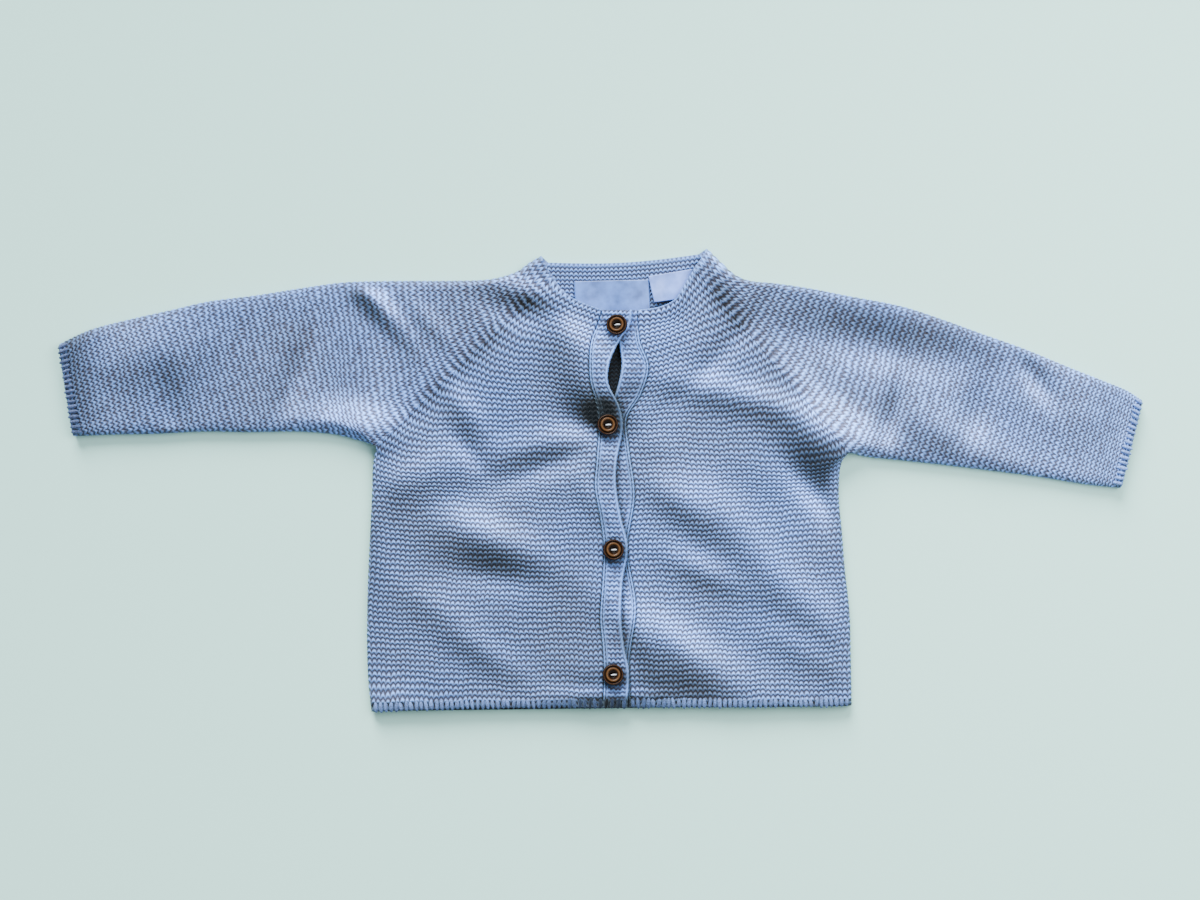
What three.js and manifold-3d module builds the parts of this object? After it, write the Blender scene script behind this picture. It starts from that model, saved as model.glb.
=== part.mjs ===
// A hand-knitted baby cardigan with raglan sleeves, buttoned up and laid out flat on its back.
// Millimetres. X runs to the right, Y towards the neck, and Z up from the surface it lies on.
// The knitting is counted in courses from the neck down: the fronts and the back end at the hem, and the
// sleeves leave the body at UNDERARM_COURSE and end at the cuff.

import * as THREE from 'three';
import { mergeVertices } from 'three/addons/utils/BufferGeometryUtils.js';
import Module from 'manifold-3d';

const WALL = 2.2; // thickness of the knitted cloth
const LAYER_GAP = 1.6; // air between the front and the back
const SEAM_GAP = 0.3; // clearance between neighbouring pieces
const FOLD_RADIUS = WALL + LAYER_GAP / 2; // outer radius of the side, shoulder and underarm folds
const FRONT_FLOOR = WALL + LAYER_GAP; // height of the front layer's underside

const UNDERARM_COURSE = 31;
const HEM_COURSE = 79;
const CUFF_COURSE = 82;

const BAND_WALL = 2.0;
const BAND_RISE = 20; // distance over which the left front climbs onto the band under it
const NECK_CURVE_COURSES = 9; // courses over which the neck curve dies out below the neck
const BACK_NECK_DIP = 2.4; // sag of the back neck edge below a straight line

const BUTTON_RADIUS = 6.15;
const BUTTON_THICKNESS = 3.2;
const THREAD_HOLE_RADIUS = 0.75;
const THREAD_HOLE_SPACING = 2.6;
const LABEL_THICKNESS = 0.9;

const FOLD_STEPS = 4; // steps round a quarter of a fold
const FOLD_COURSES = 2; // courses over which the side and underarm folds begin
const MAX_FOLD_SHARE = 0.04; // most of a row that a fold may take
const PANEL_COURSE_STEP = 3.1;
const BACK_COURSE_STEP = 6;
const SLEEVE_COURSE_STEP = 4.2;
const BUTTON_SIDES = 24;
const HOLE_SIDES = 8;
const MERGE_DISTANCE = 1e-4;

// Fractions across a row at which its points are placed.
const PANEL_FRACTIONS = [0.07, 0.15, 0.24, 0.33, 0.42, 0.52, 0.62, 0.72, 0.82, 0.91, 1];
const BACK_FRACTIONS = [0.04, 0.2, 0.4, 0.6, 0.8, 0.96];
const SLEEVE_TOP_FRACTIONS = [0, 0.12, 0.26, 0.4, 0.55, 0.7, 0.85, 1];
const SLEEVE_UNDER_FRACTIONS = [0, 0.33, 0.67, 1];
const BAND_SECTION = [
  { at: 0, roll: 0.25 },
  { at: 0.1, roll: 0 },
  { at: 0.9, roll: 0 },
  { at: 1, roll: 0.25 },
];

// Relief of the upper layer fades out near folds and seams, and never reaches the layer below.
const CALM_SHARE = 0.16;
const CALM_MARGIN = 6;
const LOWEST_TROUGH = -0.7;

// Outer fold of the body at each side, from the underarm to the hem.
const LEFT_SIDE = [
  { course: 31, x: -129.6, y: 19.7 },
  { course: 34, x: -132.0, y: 10.0 },
  { course: 40, x: -132.8, y: -9.0 },
  { course: 48, x: -134.0, y: -33.0 },
  { course: 58, x: -135.3, y: -63.0 },
  { course: 68, x: -135.7, y: -94.0 },
  { course: 75, x: -134.9, y: -117.0 },
  { course: 79, x: -133.1, y: -134.5 },
];
const RIGHT_SIDE = [
  { course: 31, x: 143.5, y: 16.2 },
  { course: 34, x: 139.5, y: 8.1 },
  { course: 40, x: 138.5, y: -10.4 },
  { course: 46, x: 140.1, y: -28.0 },
  { course: 54, x: 142.1, y: -53.0 },
  { course: 62, x: 144.7, y: -77.0 },
  { course: 70, x: 145.4, y: -102.0 },
  { course: 79, x: 145.9, y: -131.0 },
];

// Raglan lines of the back, which end at the back neck.
const LEFT_BACK_RAGLAN_TOP = { x: -30.5, y: 126.4 };
const RIGHT_BACK_RAGLAN_TOP = { x: 57.0, y: 131.2 };

// Height of a course where it reaches the bands.
const SEAM_COURSES = [
  { course: 0, y: 98.4 },
  { course: 4, y: 86.6 },
  { course: 31, y: 12.8 },
  { course: 79, y: -131.8 },
];

// Edges of the two front bands, from the hem up. The left edge of the buttonhole band and the right edge of
// the button band are the seams to the fronts; the bands part between the two top buttons.
const BUTTONHOLE_BAND = [
  { y: -131.8, left: 1.2, right: 15.4 },
  { y: -112, left: 1.8, right: 16.6 },
  { y: -97, left: 1.2, right: 13.8 },
  { y: -80, left: -0.4, right: 12.1 },
  { y: -60, left: 0.8, right: 12.8 },
  { y: -39, left: 1.7, right: 15.8 },
  { y: -22, left: -0.4, right: 12.0 },
  { y: -4, left: -3.5, right: 9.2 },
  { y: 10, left: -2.6, right: 9.4 },
  { y: 30, left: -1.2, right: 12.9 },
  { y: 42, left: -1.7, right: 11.2 },
  { y: 56, left: -6.0, right: 4.6 },
  { y: 68, left: -6.8, right: 5.4 },
  { y: 80, left: -5.8, right: 10.6 },
  { y: 90, left: -2.2, right: 17.0 },
  { y: 98.4, left: 0.9, right: 18.6 },
];
const BUTTON_BAND = [
  { y: -131.8, left: 5.0, right: 17.6 },
  { y: -105, left: 4.4, right: 17.0 },
  { y: -74, left: 8.2, right: 20.8 },
  { y: -40, left: 3.4, right: 16.0 },
  { y: -9, left: 7.4, right: 20.0 },
  { y: 20, left: 4.0, right: 16.5 },
  { y: 36, left: 2.8, right: 15.6 },
  { y: 50, left: 8.6, right: 23.8 },
  { y: 66, left: 12.2, right: 28.1 },
  { y: 80, left: 10.4, right: 23.2 },
  { y: 98.4, left: 7.0, right: 21.2 },
];

// Neck edge of each front, from the raglan line to the band.
const LEFT_NECK = [
  { at: 0, x: -27.5, y: 117.7 },
  { at: 0.3, x: -19.6, y: 108.8 },
  { at: 0.6, x: -10.7, y: 103.2 },
  { at: 1, x: 0.9, y: 98.2 },
];
const RIGHT_NECK = [
  { at: 0, x: 54.2, y: 123.0 },
  { at: 0.25, x: 48.8, y: 115.0 },
  { at: 0.5, x: 43.0, y: 105.4 },
  { at: 0.75, x: 33.8, y: 100.6 },
  { at: 1, x: 21.2, y: 98.6 },
];

// Shoulder fold of each sleeve from the neck to the cuff.
const LEFT_SHOULDER = [
  { course: 0, x: -34.5, y: 130.2 },
  { course: 2, x: -41.5, y: 126.0 },
  { course: 4, x: -49.0, y: 120.8 },
  { course: 8, x: -64.1, y: 116.6 },
  { course: 14, x: -86.1, y: 115.7 },
  { course: 22, x: -115.1, y: 115.6 },
  { course: 31, x: -148.2, y: 114.8 },
  { course: 38, x: -172.5, y: 111.6 },
  { course: 46, x: -200.4, y: 107.2 },
  { course: 54, x: -228.2, y: 103.6 },
  { course: 60, x: -249.1, y: 98.8 },
  { course: 68, x: -276.9, y: 92.5 },
  { course: 75, x: -297.2, y: 87.0 },
  { course: 82, x: -314.5, y: 78.9 },
];
const RIGHT_SHOULDER = [
  { course: 0, x: 61.8, y: 134.5 },
  { course: 2, x: 69.6, y: 127.0 },
  { course: 4, x: 78.0, y: 119.4 },
  { course: 6, x: 86.7, y: 115.8 },
  { course: 10, x: 101.2, y: 114.3 },
  { course: 16, x: 122.7, y: 111.1 },
  { course: 22, x: 143.5, y: 107.0 },
  { course: 31, x: 174.9, y: 100.9 },
  { course: 38, x: 197.5, y: 93.7 },
  { course: 46, x: 221.8, y: 84.9 },
  { course: 54, x: 246.8, y: 76.0 },
  { course: 62, x: 270.0, y: 66.4 },
  { course: 70, x: 292.0, y: 57.7 },
  { course: 76, x: 305.4, y: 52.2 },
  { course: 82, x: 314.5, y: 46.4 },
];

// Underarm fold of each sleeve, from the body to the cuff.
const LEFT_UNDERARM = [
  { course: 31, x: -129.6, y: 19.7 },
  { course: 34, x: -140.6, y: 23.2 },
  { course: 38, x: -154.6, y: 26.6 },
  { course: 44, x: -174.9, y: 28.2 },
  { course: 52, x: -202.7, y: 27.9 },
  { course: 60, x: -230.5, y: 28.2 },
  { course: 68, x: -258.4, y: 26.9 },
  { course: 75, x: -284.5, y: 26.4 },
  { course: 82, x: -306.0, y: 25.4 },
];
const RIGHT_UNDERARM = [
  { course: 31, x: 143.5, y: 16.2 },
  { course: 34, x: 155.1, y: 13.6 },
  { course: 40, x: 176.6, y: 11.3 },
  { course: 48, x: 204.4, y: 8.3 },
  { course: 56, x: 231.1, y: 5.0 },
  { course: 64, x: 256.6, y: 1.7 },
  { course: 72, x: 281.0, y: -2.3 },
  { course: 82, x: 302.0, y: -4.6 },
];

// Soft folds of the upper layer: a ridge, or a trough where the height is below zero.
const FOLDS = [
  { name: 'left front trough', x: -66, y: -44, angle: -23, length: 26, width: 7, height: -1.1 },
  { name: 'left front ridge', x: -70, y: -22, angle: -12, length: 30, width: 9, height: 1.8 },
  { name: 'left front side', x: -104, y: -26, angle: 10, length: 24, width: 11, height: 1.4 },
  { name: 'left front low', x: -30, y: -92, angle: 24, length: 34, width: 10, height: 1.3 },
  { name: 'left yoke', x: -52, y: 44, angle: 32, length: 30, width: 13, height: 2.0 },
  { name: 'right front ridge', x: 55, y: -88, angle: -28, length: 28, width: 8, height: 1.9 },
  { name: 'right front trough', x: 56, y: -68, angle: -24, length: 24, width: 7, height: -1.1 },
  { name: 'right front side', x: 108, y: -40, angle: 14, length: 34, width: 13, height: 1.6 },
  { name: 'right yoke roll', x: 84, y: 92, angle: -55, length: 22, width: 8, height: 2.6 },
  { name: 'right yoke crease', x: 73, y: 90, angle: -52, length: 20, width: 4, height: -1.4 },
  { name: 'right yoke swell', x: 62, y: 48, angle: 18, length: 26, width: 14, height: 2.0 },
  { name: 'left shoulder crease', x: -140, y: 104, angle: -36, length: 18, width: 5, height: -1.2 },
  { name: 'left shoulder swell', x: -112, y: 84, angle: -18, length: 34, width: 14, height: 2.4 },
  { name: 'left sleeve trough', x: -180, y: 56, angle: 72, length: 22, width: 6, height: -1.2 },
  { name: 'left sleeve swell', x: -214, y: 70, angle: 8, length: 34, width: 13, height: 2.2 },
  { name: 'left cuff swell', x: -280, y: 62, angle: 14, length: 22, width: 12, height: 1.6 },
  { name: 'right shoulder swell', x: 142, y: 72, angle: -16, length: 34, width: 14, height: 2.2 },
  { name: 'right sleeve trough', x: 167, y: 38, angle: 82, length: 16, width: 5, height: -1.2 },
  { name: 'right sleeve swell', x: 210, y: 52, angle: -20, length: 32, width: 12, height: 2.4 },
  { name: 'right sleeve dip', x: 251, y: 62, angle: -34, length: 16, width: 6, height: -1.0 },
  { name: 'right cuff swell', x: 280, y: 30, angle: -28, length: 22, width: 11, height: 1.6 },
];

// The four buttons, from the neck to the hem, each leaning by tilt degrees towards the right.
const BUTTONS = [
  { name: 'button_1', x: 9.3, y: 89.8, tilt: 7 },
  { name: 'button_2', x: 4.1, y: 31.9, tilt: 2 },
  { name: 'button_3', x: 7.4, y: -40.3, tilt: 3 },
  { name: 'button_4', x: 7.2, y: -112.6, tilt: 2 },
];

// Turned profile of a button from its bottom centre to its top centre: a rim, a groove, a ring and a dish.
const BUTTON_PROFILE = [
  { radius: 0, height: 0 },
  { radius: 0.72, height: 0 },
  { radius: 1, height: 0.34 },
  { radius: 0.96, height: 0.82 },
  { radius: 0.86, height: 0.94 },
  { radius: 0.74, height: 0.76 },
  { radius: 0.62, height: 1 },
  { radius: 0.5, height: 0.94 },
  { radius: 0.34, height: 0.68 },
  { radius: 0, height: 0.6 },
];

// Undersides of the layers at the front opening.
const BUTTON_BAND_FLOOR = FRONT_FLOOR;
const BUTTONHOLE_BAND_FLOOR = BUTTON_BAND_FLOOR + BAND_WALL + SEAM_GAP;
const BUTTON_FLOOR = BUTTONHOLE_BAND_FLOOR + BAND_WALL + SEAM_GAP;

// Corners of the two labels that lie on the inside of the back, from the top left, clockwise.
const NECK_LABEL = [
  { x: -15.4, y: 115.4 },
  { x: 26.6, y: 116.4 },
  { x: 26.8, y: 96.0 },
  { x: -14.2, y: 95.0 },
];
const CARE_TAG = [
  { x: 27.8, y: 118.2 },
  { x: 51.6, y: 122.6 },
  { x: 42.8, y: 104.6 },
  { x: 30.6, y: 103.6 },
];

const smooth = (t) => {
  const s = THREE.MathUtils.clamp(t, 0, 1);
  return s * s * (3 - 2 * s);
};

const mix = (a, b, t) => a + (b - a) * t;

// Reads one column of a table at a key, on a smooth curve through its rows.
function readColumn(table, key, value, column) {
  const last = table.length - 1;
  const found = table.findIndex((row) => row[key] >= value);
  const next = Math.max(found < 0 ? last : found, 1);
  const nearest = (index) => table[THREE.MathUtils.clamp(index, 0, last)];
  const [before, from, to, after] = [-2, -1, 0, 1].map((offset) => nearest(next + offset));
  const span = to[key] - from[key];
  const t = (value - from[key]) / span;
  const slopeIn = (to[column] - before[column]) / (to[key] - before[key]);
  const slopeOut = (after[column] - from[column]) / (after[key] - from[key]);
  return (
    from[column] * (1 + 2 * t) * (1 - t) ** 2 +
    to[column] * t * t * (3 - 2 * t) +
    slopeIn * span * t * (1 - t) ** 2 -
    slopeOut * span * t * t * (1 - t)
  );
}

const readPoint = (table, key, value) => ['x', 'y'].map((axis) => readColumn(table, key, value, axis));

const mixPoint = (a, b, t) => [mix(a[0], b[0], t), mix(a[1], b[1], t)];

// A raglan line is straight from the neck to the underarm; below it the edge follows the table.
function edgePoint(raglanTop, table, course) {
  if (course >= UNDERARM_COURSE) return readPoint(table, 'course', course);
  return mixPoint([raglanTop.x, raglanTop.y], [table[0].x, table[0].y], course / UNDERARM_COURSE);
}

// Point of a course on the seam to a band, given which edge of the band the seam is.
function seamPoint(band, edge, course) {
  const y = readColumn(SEAM_COURSES, 'course', course, 'y');
  return [readColumn(band, 'y', y, edge), y];
}

// Height that the folds add to the upper layer at a place.
function foldHeight(x, y) {
  return FOLDS.reduce((sum, fold) => {
    const turn = THREE.MathUtils.degToRad(fold.angle);
    const along = (x - fold.x) * Math.cos(turn) + (y - fold.y) * Math.sin(turn);
    const across = (y - fold.y) * Math.cos(turn) - (x - fold.x) * Math.sin(turn);
    return sum + fold.height * Math.exp(-((along / fold.length) ** 2) - (across / fold.width) ** 2);
  }, 0);
}

// Closes two grids of points, an outer and an inner one, into one wall with four side faces.
function wallGeometry(outer, inner) {
  const rows = outer.length;
  const columns = outer[0].length;
  const positions = [...outer.flat(), ...inner.flat()].flat();
  const outerAt = (row, column) => row * columns + column;
  const innerAt = (row, column) => outerAt(row, column) + rows * columns;
  const faces = [];
  const quad = (a, b, c, d) => faces.push(a, b, c, a, c, d);
  for (let row = 0; row < rows - 1; row += 1) {
    for (let column = 0; column < columns - 1; column += 1) {
      const here = [row, column];
      const across = [row, column + 1];
      const beyond = [row + 1, column + 1];
      const along = [row + 1, column];
      quad(outerAt(...here), outerAt(...across), outerAt(...beyond), outerAt(...along));
      quad(innerAt(...here), innerAt(...along), innerAt(...beyond), innerAt(...across));
    }
  }
  const lastRow = rows - 1;
  const lastColumn = columns - 1;
  for (let column = 0; column < lastColumn; column += 1) {
    const next = column + 1;
    quad(innerAt(0, column), innerAt(0, next), outerAt(0, next), outerAt(0, column));
    quad(outerAt(lastRow, column), outerAt(lastRow, next), innerAt(lastRow, next), innerAt(lastRow, column));
  }
  for (let row = 0; row < lastRow; row += 1) {
    const next = row + 1;
    quad(outerAt(row, 0), outerAt(next, 0), innerAt(next, 0), innerAt(row, 0));
    const [innerEnd, outerEnd] = [innerAt, outerAt].map((at) => [at(row, lastColumn), at(next, lastColumn)]);
    quad(innerEnd[0], innerEnd[1], outerEnd[1], outerEnd[0]);
  }
  const geometry = new THREE.BufferGeometry();
  geometry.setAttribute('position', new THREE.Float32BufferAttribute(positions, 3));
  geometry.setIndex(signedVolume(positions, faces) > 0 ? faces : faces.reverse());
  geometry.computeVertexNormals();
  return geometry;
}

// Six times the volume inside a closed mesh, above zero when its faces point out.
function signedVolume(positions, faces) {
  const corner = (i) => new THREE.Vector3().fromArray(positions, 3 * faces[i]);
  let volume = 0;
  for (let i = 0; i < faces.length; i += 3) {
    volume += corner(i).dot(corner(i + 1).cross(corner(i + 2)));
  }
  return volume;
}

// Courses from one to another in about equal steps, with both ends.
function courseList(first, last, step) {
  const steps = Math.round((last - first) / step);
  return Array.from({ length: steps + 1 }, (_, i) => mix(first, last, i / steps));
}

// Rows at which a piece that spans the underarm is worked out.
const pieceCourses = (last, step) => [
  ...courseList(0, UNDERARM_COURSE, step),
  ...courseList(UNDERARM_COURSE + FOLD_COURSES, last, step),
];

// Share of the underarm and side folds that a course has: none on the yoke, all of it below the underarm.
const foldShare = (course) => smooth((course - UNDERARM_COURSE) / FOLD_COURSES);

// Section through one end of a row, where the cloth folds over by a quarter circle. Each entry gives the
// distance in from the edge and the height from the middle of the garment, for the outer and the inner face.
function foldSection(share, width) {
  const reach = Math.min(FOLD_RADIUS, MAX_FOLD_SHARE * width);
  const rise = FOLD_RADIUS - SEAM_GAP / 2;
  return Array.from({ length: FOLD_STEPS }, (_, step) => {
    const angle = ((Math.PI / 2) * step) / FOLD_STEPS;
    const outward = reach * (1 - Math.cos(angle));
    return {
      outer: outward,
      inner: mix(outward, FOLD_RADIUS - (FOLD_RADIUS - WALL) * Math.cos(angle), share),
      outerRise: mix(rise, rise * Math.sin(angle), share),
      innerRise: mix(rise - WALL, (rise - WALL) * Math.sin(angle), share),
    };
  });
}

// One front panel. Each course is a row from the side fold, or the raglan line, to the band seam.
function frontPanel({ side, raglanTop, band, bandEdge, neck, inward, seamRise }) {
  const outer = [];
  const inner = [];
  const neckStart = readPoint(neck, 'at', 0);
  const neckEnd = readPoint(neck, 'at', 1);
  for (const course of pieceCourses(HEM_COURSE, PANEL_COURSE_STEP)) {
    const [sideX, sideY] = edgePoint(raglanTop, side, course);
    const [seamX, seamY] = seamPoint(band, bandEdge, course);
    const start = [sideX + inward * SEAM_GAP, sideY - SEAM_GAP * (1 - foldShare(course))];
    const end = [seamX - inward * SEAM_GAP, seamY];
    const width = Math.abs(end[0] - start[0]);
    const neckShare = 1 - smooth(course / NECK_CURVE_COURSES);
    const place = (fraction) => {
      const [x, y] = mixPoint(start, end, fraction);
      const [neckX, neckY] = readPoint(neck, 'at', fraction);
      const [straightX, straightY] = mixPoint(neckStart, neckEnd, fraction);
      return [x + neckShare * (neckX - straightX), y + neckShare * (neckY - straightY)];
    };
    const middle = FOLD_RADIUS + SEAM_GAP / 2;
    const fold = foldSection(foldShare(course), width);
    const outerRow = fold.map((step) => [...place(step.outer / width), middle + step.outerRise]);
    const innerRow = fold.map((step) => [...place(step.inner / width), middle + step.innerRise]);
    const firstFraction = Math.min(FOLD_RADIUS / width, MAX_FOLD_SHARE);
    for (const fraction of [firstFraction, ...PANEL_FRACTIONS]) {
      const [x, y] = place(fraction);
      const seamDistance = width * (1 - fraction);
      const climb = seamRise * (1 - smooth(seamDistance / BAND_RISE));
      const calm = smooth(fraction / CALM_SHARE) * smooth((seamDistance + CALM_MARGIN) / BAND_RISE);
      const height = FRONT_FLOOR + climb + Math.max(foldHeight(x, y) * calm, LOWEST_TROUGH);
      outerRow.push([x, y, height + WALL]);
      innerRow.push([x, y, height]);
    }
    outer.push(outerRow);
    inner.push(innerRow);
  }
  return wallGeometry(outer, inner);
}

// The back, which lies flat on its outer face. Its sides fold up to meet the fronts halfway.
function backPanel() {
  const outer = [];
  const inner = [];
  for (const course of pieceCourses(HEM_COURSE, BACK_COURSE_STEP)) {
    const [leftX, leftY] = edgePoint(LEFT_BACK_RAGLAN_TOP, LEFT_SIDE, course);
    const [rightX, rightY] = edgePoint(RIGHT_BACK_RAGLAN_TOP, RIGHT_SIDE, course);
    const drop = SEAM_GAP * (1 - foldShare(course));
    const start = [leftX + SEAM_GAP, leftY - drop];
    const end = [rightX - SEAM_GAP, rightY - drop];
    const width = end[0] - start[0];
    const dip = BACK_NECK_DIP * (1 - smooth(course / NECK_CURVE_COURSES));
    const place = (fraction) => {
      const [x, y] = mixPoint(start, end, fraction);
      return [x, y - dip * Math.sin(Math.PI * fraction)];
    };
    const middle = FOLD_RADIUS - SEAM_GAP / 2;
    const fold = foldSection(foldShare(course), width);
    const left = fold.map((step) => [step.outer, step.inner, step.outerRise, step.innerRise]);
    const flat = BACK_FRACTIONS.map((fraction) => {
      const distance = fraction * width;
      return [distance, distance, middle, middle - WALL];
    });
    const right = left.map(([a, b, ...rises]) => [width - a, width - b, ...rises]).reverse();
    const row = [...left, ...flat, ...right];
    outer.push(row.map(([distance, , rise]) => [...place(distance / width), middle - rise]));
    inner.push(row.map(([, distance, , rise]) => [...place(distance / width), middle - rise]));
  }
  return wallGeometry(outer, inner);
}

// One sleeve, a flat tube open at the cuff and along its underarm seam. Each row runs from the underarm, or
// from the front raglan line, over the shoulder fold and back along the lower layer.
function sleeve({ shoulder, underarm, raglanTop, backRaglanTop, outward }) {
  const outer = [];
  const inner = [];
  for (const course of pieceCourses(CUFF_COURSE, SLEEVE_COURSE_STEP)) {
    const onYoke = 1 - foldShare(course);
    const shift = ([x, y]) => [x + outward * SEAM_GAP * onYoke, y + SEAM_GAP * onYoke];
    const fold = readPoint(shoulder, 'course', course);
    const front = shift(edgePoint(raglanTop, underarm, course));
    const back = shift(edgePoint(backRaglanTop, underarm, course));
    const outerRow = [];
    const innerRow = [];
    for (const layer of [
      { edge: front, up: 1, fractions: SLEEVE_TOP_FRACTIONS },
      { edge: back, up: -1, fractions: SLEEVE_UNDER_FRACTIONS },
    ]) {
      const width = Math.hypot(fold[0] - layer.edge[0], fold[1] - layer.edge[1]);
      const middle = FOLD_RADIUS + (layer.up * SEAM_GAP) / 2;
      const place = (distance) => mixPoint(layer.edge, fold, distance / width);
      const seam = foldSection(foldShare(course), width).map((step) => ({
        outer: [...place(step.outer), middle + layer.up * step.outerRise],
        inner: [...place(step.inner), middle + layer.up * step.innerRise],
      }));
      const flat = layer.fractions.map((fraction) => {
        const seamReach = Math.min(FOLD_RADIUS, MAX_FOLD_SHARE * width);
        const [x, y] = place(mix(seamReach, width - FOLD_RADIUS, fraction));
        const calm = smooth(fraction / CALM_SHARE) * smooth((1 - fraction) / CALM_SHARE);
        const swell = layer.up > 0 ? Math.max(foldHeight(x, y) * calm, LOWEST_TROUGH) : 0;
        return {
          outer: [x, y, FOLD_RADIUS + layer.up * FOLD_RADIUS + swell],
          inner: [x, y, FOLD_RADIUS + layer.up * (FOLD_RADIUS - WALL) + swell],
        };
      });
      const turn = Array.from({ length: FOLD_STEPS - 1 }, (_, step) => {
        const angle = (Math.PI / 2) * (1 - (step + 1) / FOLD_STEPS);
        const section = (radius) => [
          ...place(width - FOLD_RADIUS + radius * Math.cos(angle)),
          FOLD_RADIUS + layer.up * radius * Math.sin(angle),
        ];
        return { outer: section(FOLD_RADIUS), inner: section(FOLD_RADIUS - WALL) };
      });
      const half = [...seam, ...flat, ...turn];
      if (layer.up > 0) {
        half.push({
          outer: [...fold, FOLD_RADIUS],
          inner: [...place(width - WALL), FOLD_RADIUS],
        });
      } else {
        half.reverse();
      }
      outerRow.push(...half.map((point) => point.outer));
      innerRow.push(...half.map((point) => point.inner));
    }
    outer.push(outerRow);
    inner.push(innerRow);
  }
  return wallGeometry(outer, inner);
}

// A knitted band between its two edges, both rolled off. Its rows lie at the courses of the fronts.
function frontBand(table, floor) {
  const outer = [];
  const inner = [];
  for (const course of pieceCourses(HEM_COURSE, PANEL_COURSE_STEP)) {
    const [left, y] = seamPoint(table, 'left', course);
    const [right] = seamPoint(table, 'right', course);
    const section = (height) => BAND_SECTION.map(({ at, roll }) => [mix(left, right, at), y, height(roll)]);
    outer.push(section((roll) => floor + BAND_WALL * (1 - roll)));
    inner.push(section((roll) => floor + BAND_WALL * roll));
  }
  return wallGeometry(outer, inner);
}

// A closed mesh as a solid that can be cut, and back.
const wasm = await Module();
wasm.setup();

function toSolid(geometry) {
  const bare = geometry.index ? geometry.toNonIndexed() : geometry.clone();
  bare.deleteAttribute('normal');
  bare.deleteAttribute('uv');
  const merged = mergeVertices(bare, MERGE_DISTANCE);
  const mesh = new wasm.Mesh({
    numProp: 3,
    vertProperties: new Float32Array(merged.attributes.position.array),
    triVerts: new Uint32Array(merged.index.array),
  });
  return new wasm.Manifold(mesh);
}

function toGeometry(solid) {
  const mesh = solid.getMesh();
  const geometry = new THREE.BufferGeometry();
  geometry.setAttribute('position', new THREE.BufferAttribute(mesh.vertProperties, 3));
  geometry.setIndex(new THREE.BufferAttribute(mesh.triVerts, 1));
  geometry.computeVertexNormals();
  return geometry;
}

// A turned wooden button with two thread holes, its axis along Z and its underside at zero.
function buttonGeometry() {
  const profile = BUTTON_PROFILE.map(
    ({ radius, height }) => new THREE.Vector2(radius * BUTTON_RADIUS, height * BUTTON_THICKNESS),
  );
  const disc = new THREE.LatheGeometry(profile, BUTTON_SIDES).rotateX(Math.PI / 2);
  const drill = 3 * BUTTON_THICKNESS;
  const hole = new THREE.CylinderGeometry(THREAD_HOLE_RADIUS, THREAD_HOLE_RADIUS, drill, HOLE_SIDES);
  hole.rotateX(Math.PI / 2);
  let solid = toSolid(disc);
  for (const side of [-1, 1]) {
    solid = solid.subtract(toSolid(hole.clone().translate((side * THREAD_HOLE_SPACING) / 2, 0, 0)));
  }
  return toGeometry(solid);
}

// A flat label through its four corners, lying just above the inside of the back.
function labelGeometry(corners) {
  const outline = new THREE.Shape(corners.map(({ x, y }) => new THREE.Vector2(x, y)));
  const geometry = new THREE.ExtrudeGeometry(outline, { depth: LABEL_THICKNESS, bevelEnabled: false });
  return geometry.translate(0, 0, WALL + SEAM_GAP);
}

const material = (color, roughness) => new THREE.MeshStandardMaterial({ color, roughness });
const cloth = material(0x9fb0cc, 0.95);
const bandCloth = material(0xa9bad6, 0.95);
const wood = material(0x5f3a22, 0.35);
const satin = material(0xe9eaec, 0.5);

const cardigan = new THREE.Group();

function addPiece(name, geometry, finish) {
  const mesh = new THREE.Mesh(geometry, finish);
  mesh.name = name;
  cardigan.add(mesh);
  return mesh;
}

addPiece('back', backPanel(), cloth);
addPiece(
  'front_left',
  frontPanel({
    side: LEFT_SIDE,
    raglanTop: LEFT_NECK[0],
    band: BUTTONHOLE_BAND,
    bandEdge: 'left',
    neck: LEFT_NECK,
    inward: 1,
    seamRise: BUTTONHOLE_BAND_FLOOR - FRONT_FLOOR,
  }),
  cloth,
);
addPiece(
  'front_right',
  frontPanel({
    side: RIGHT_SIDE,
    raglanTop: RIGHT_NECK[0],
    band: BUTTON_BAND,
    bandEdge: 'right',
    neck: RIGHT_NECK,
    inward: -1,
    seamRise: 0,
  }),
  cloth,
);
addPiece(
  'sleeve_left',
  sleeve({
    shoulder: LEFT_SHOULDER,
    underarm: LEFT_UNDERARM,
    raglanTop: LEFT_NECK[0],
    backRaglanTop: LEFT_BACK_RAGLAN_TOP,
    outward: -1,
  }),
  cloth,
);
addPiece(
  'sleeve_right',
  sleeve({
    shoulder: RIGHT_SHOULDER,
    underarm: RIGHT_UNDERARM,
    raglanTop: RIGHT_NECK[0],
    backRaglanTop: RIGHT_BACK_RAGLAN_TOP,
    outward: 1,
  }),
  cloth,
);
addPiece('button_band', frontBand(BUTTON_BAND, BUTTON_BAND_FLOOR), bandCloth);
addPiece('buttonhole_band', frontBand(BUTTONHOLE_BAND, BUTTONHOLE_BAND_FLOOR), bandCloth);

const button = buttonGeometry();
for (const { name, x, y, tilt } of BUTTONS) {
  const lean = THREE.MathUtils.degToRad(tilt);
  const mesh = addPiece(name, button.clone(), wood);
  mesh.rotation.y = lean;
  mesh.position.set(x, y, BUTTON_FLOOR + BUTTON_RADIUS * Math.sin(lean));
}

addPiece('neck_label', labelGeometry(NECK_LABEL), satin);
addPiece('care_tag', labelGeometry(CARE_TAG), satin);

export default cardigan;
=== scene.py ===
import math

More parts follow.
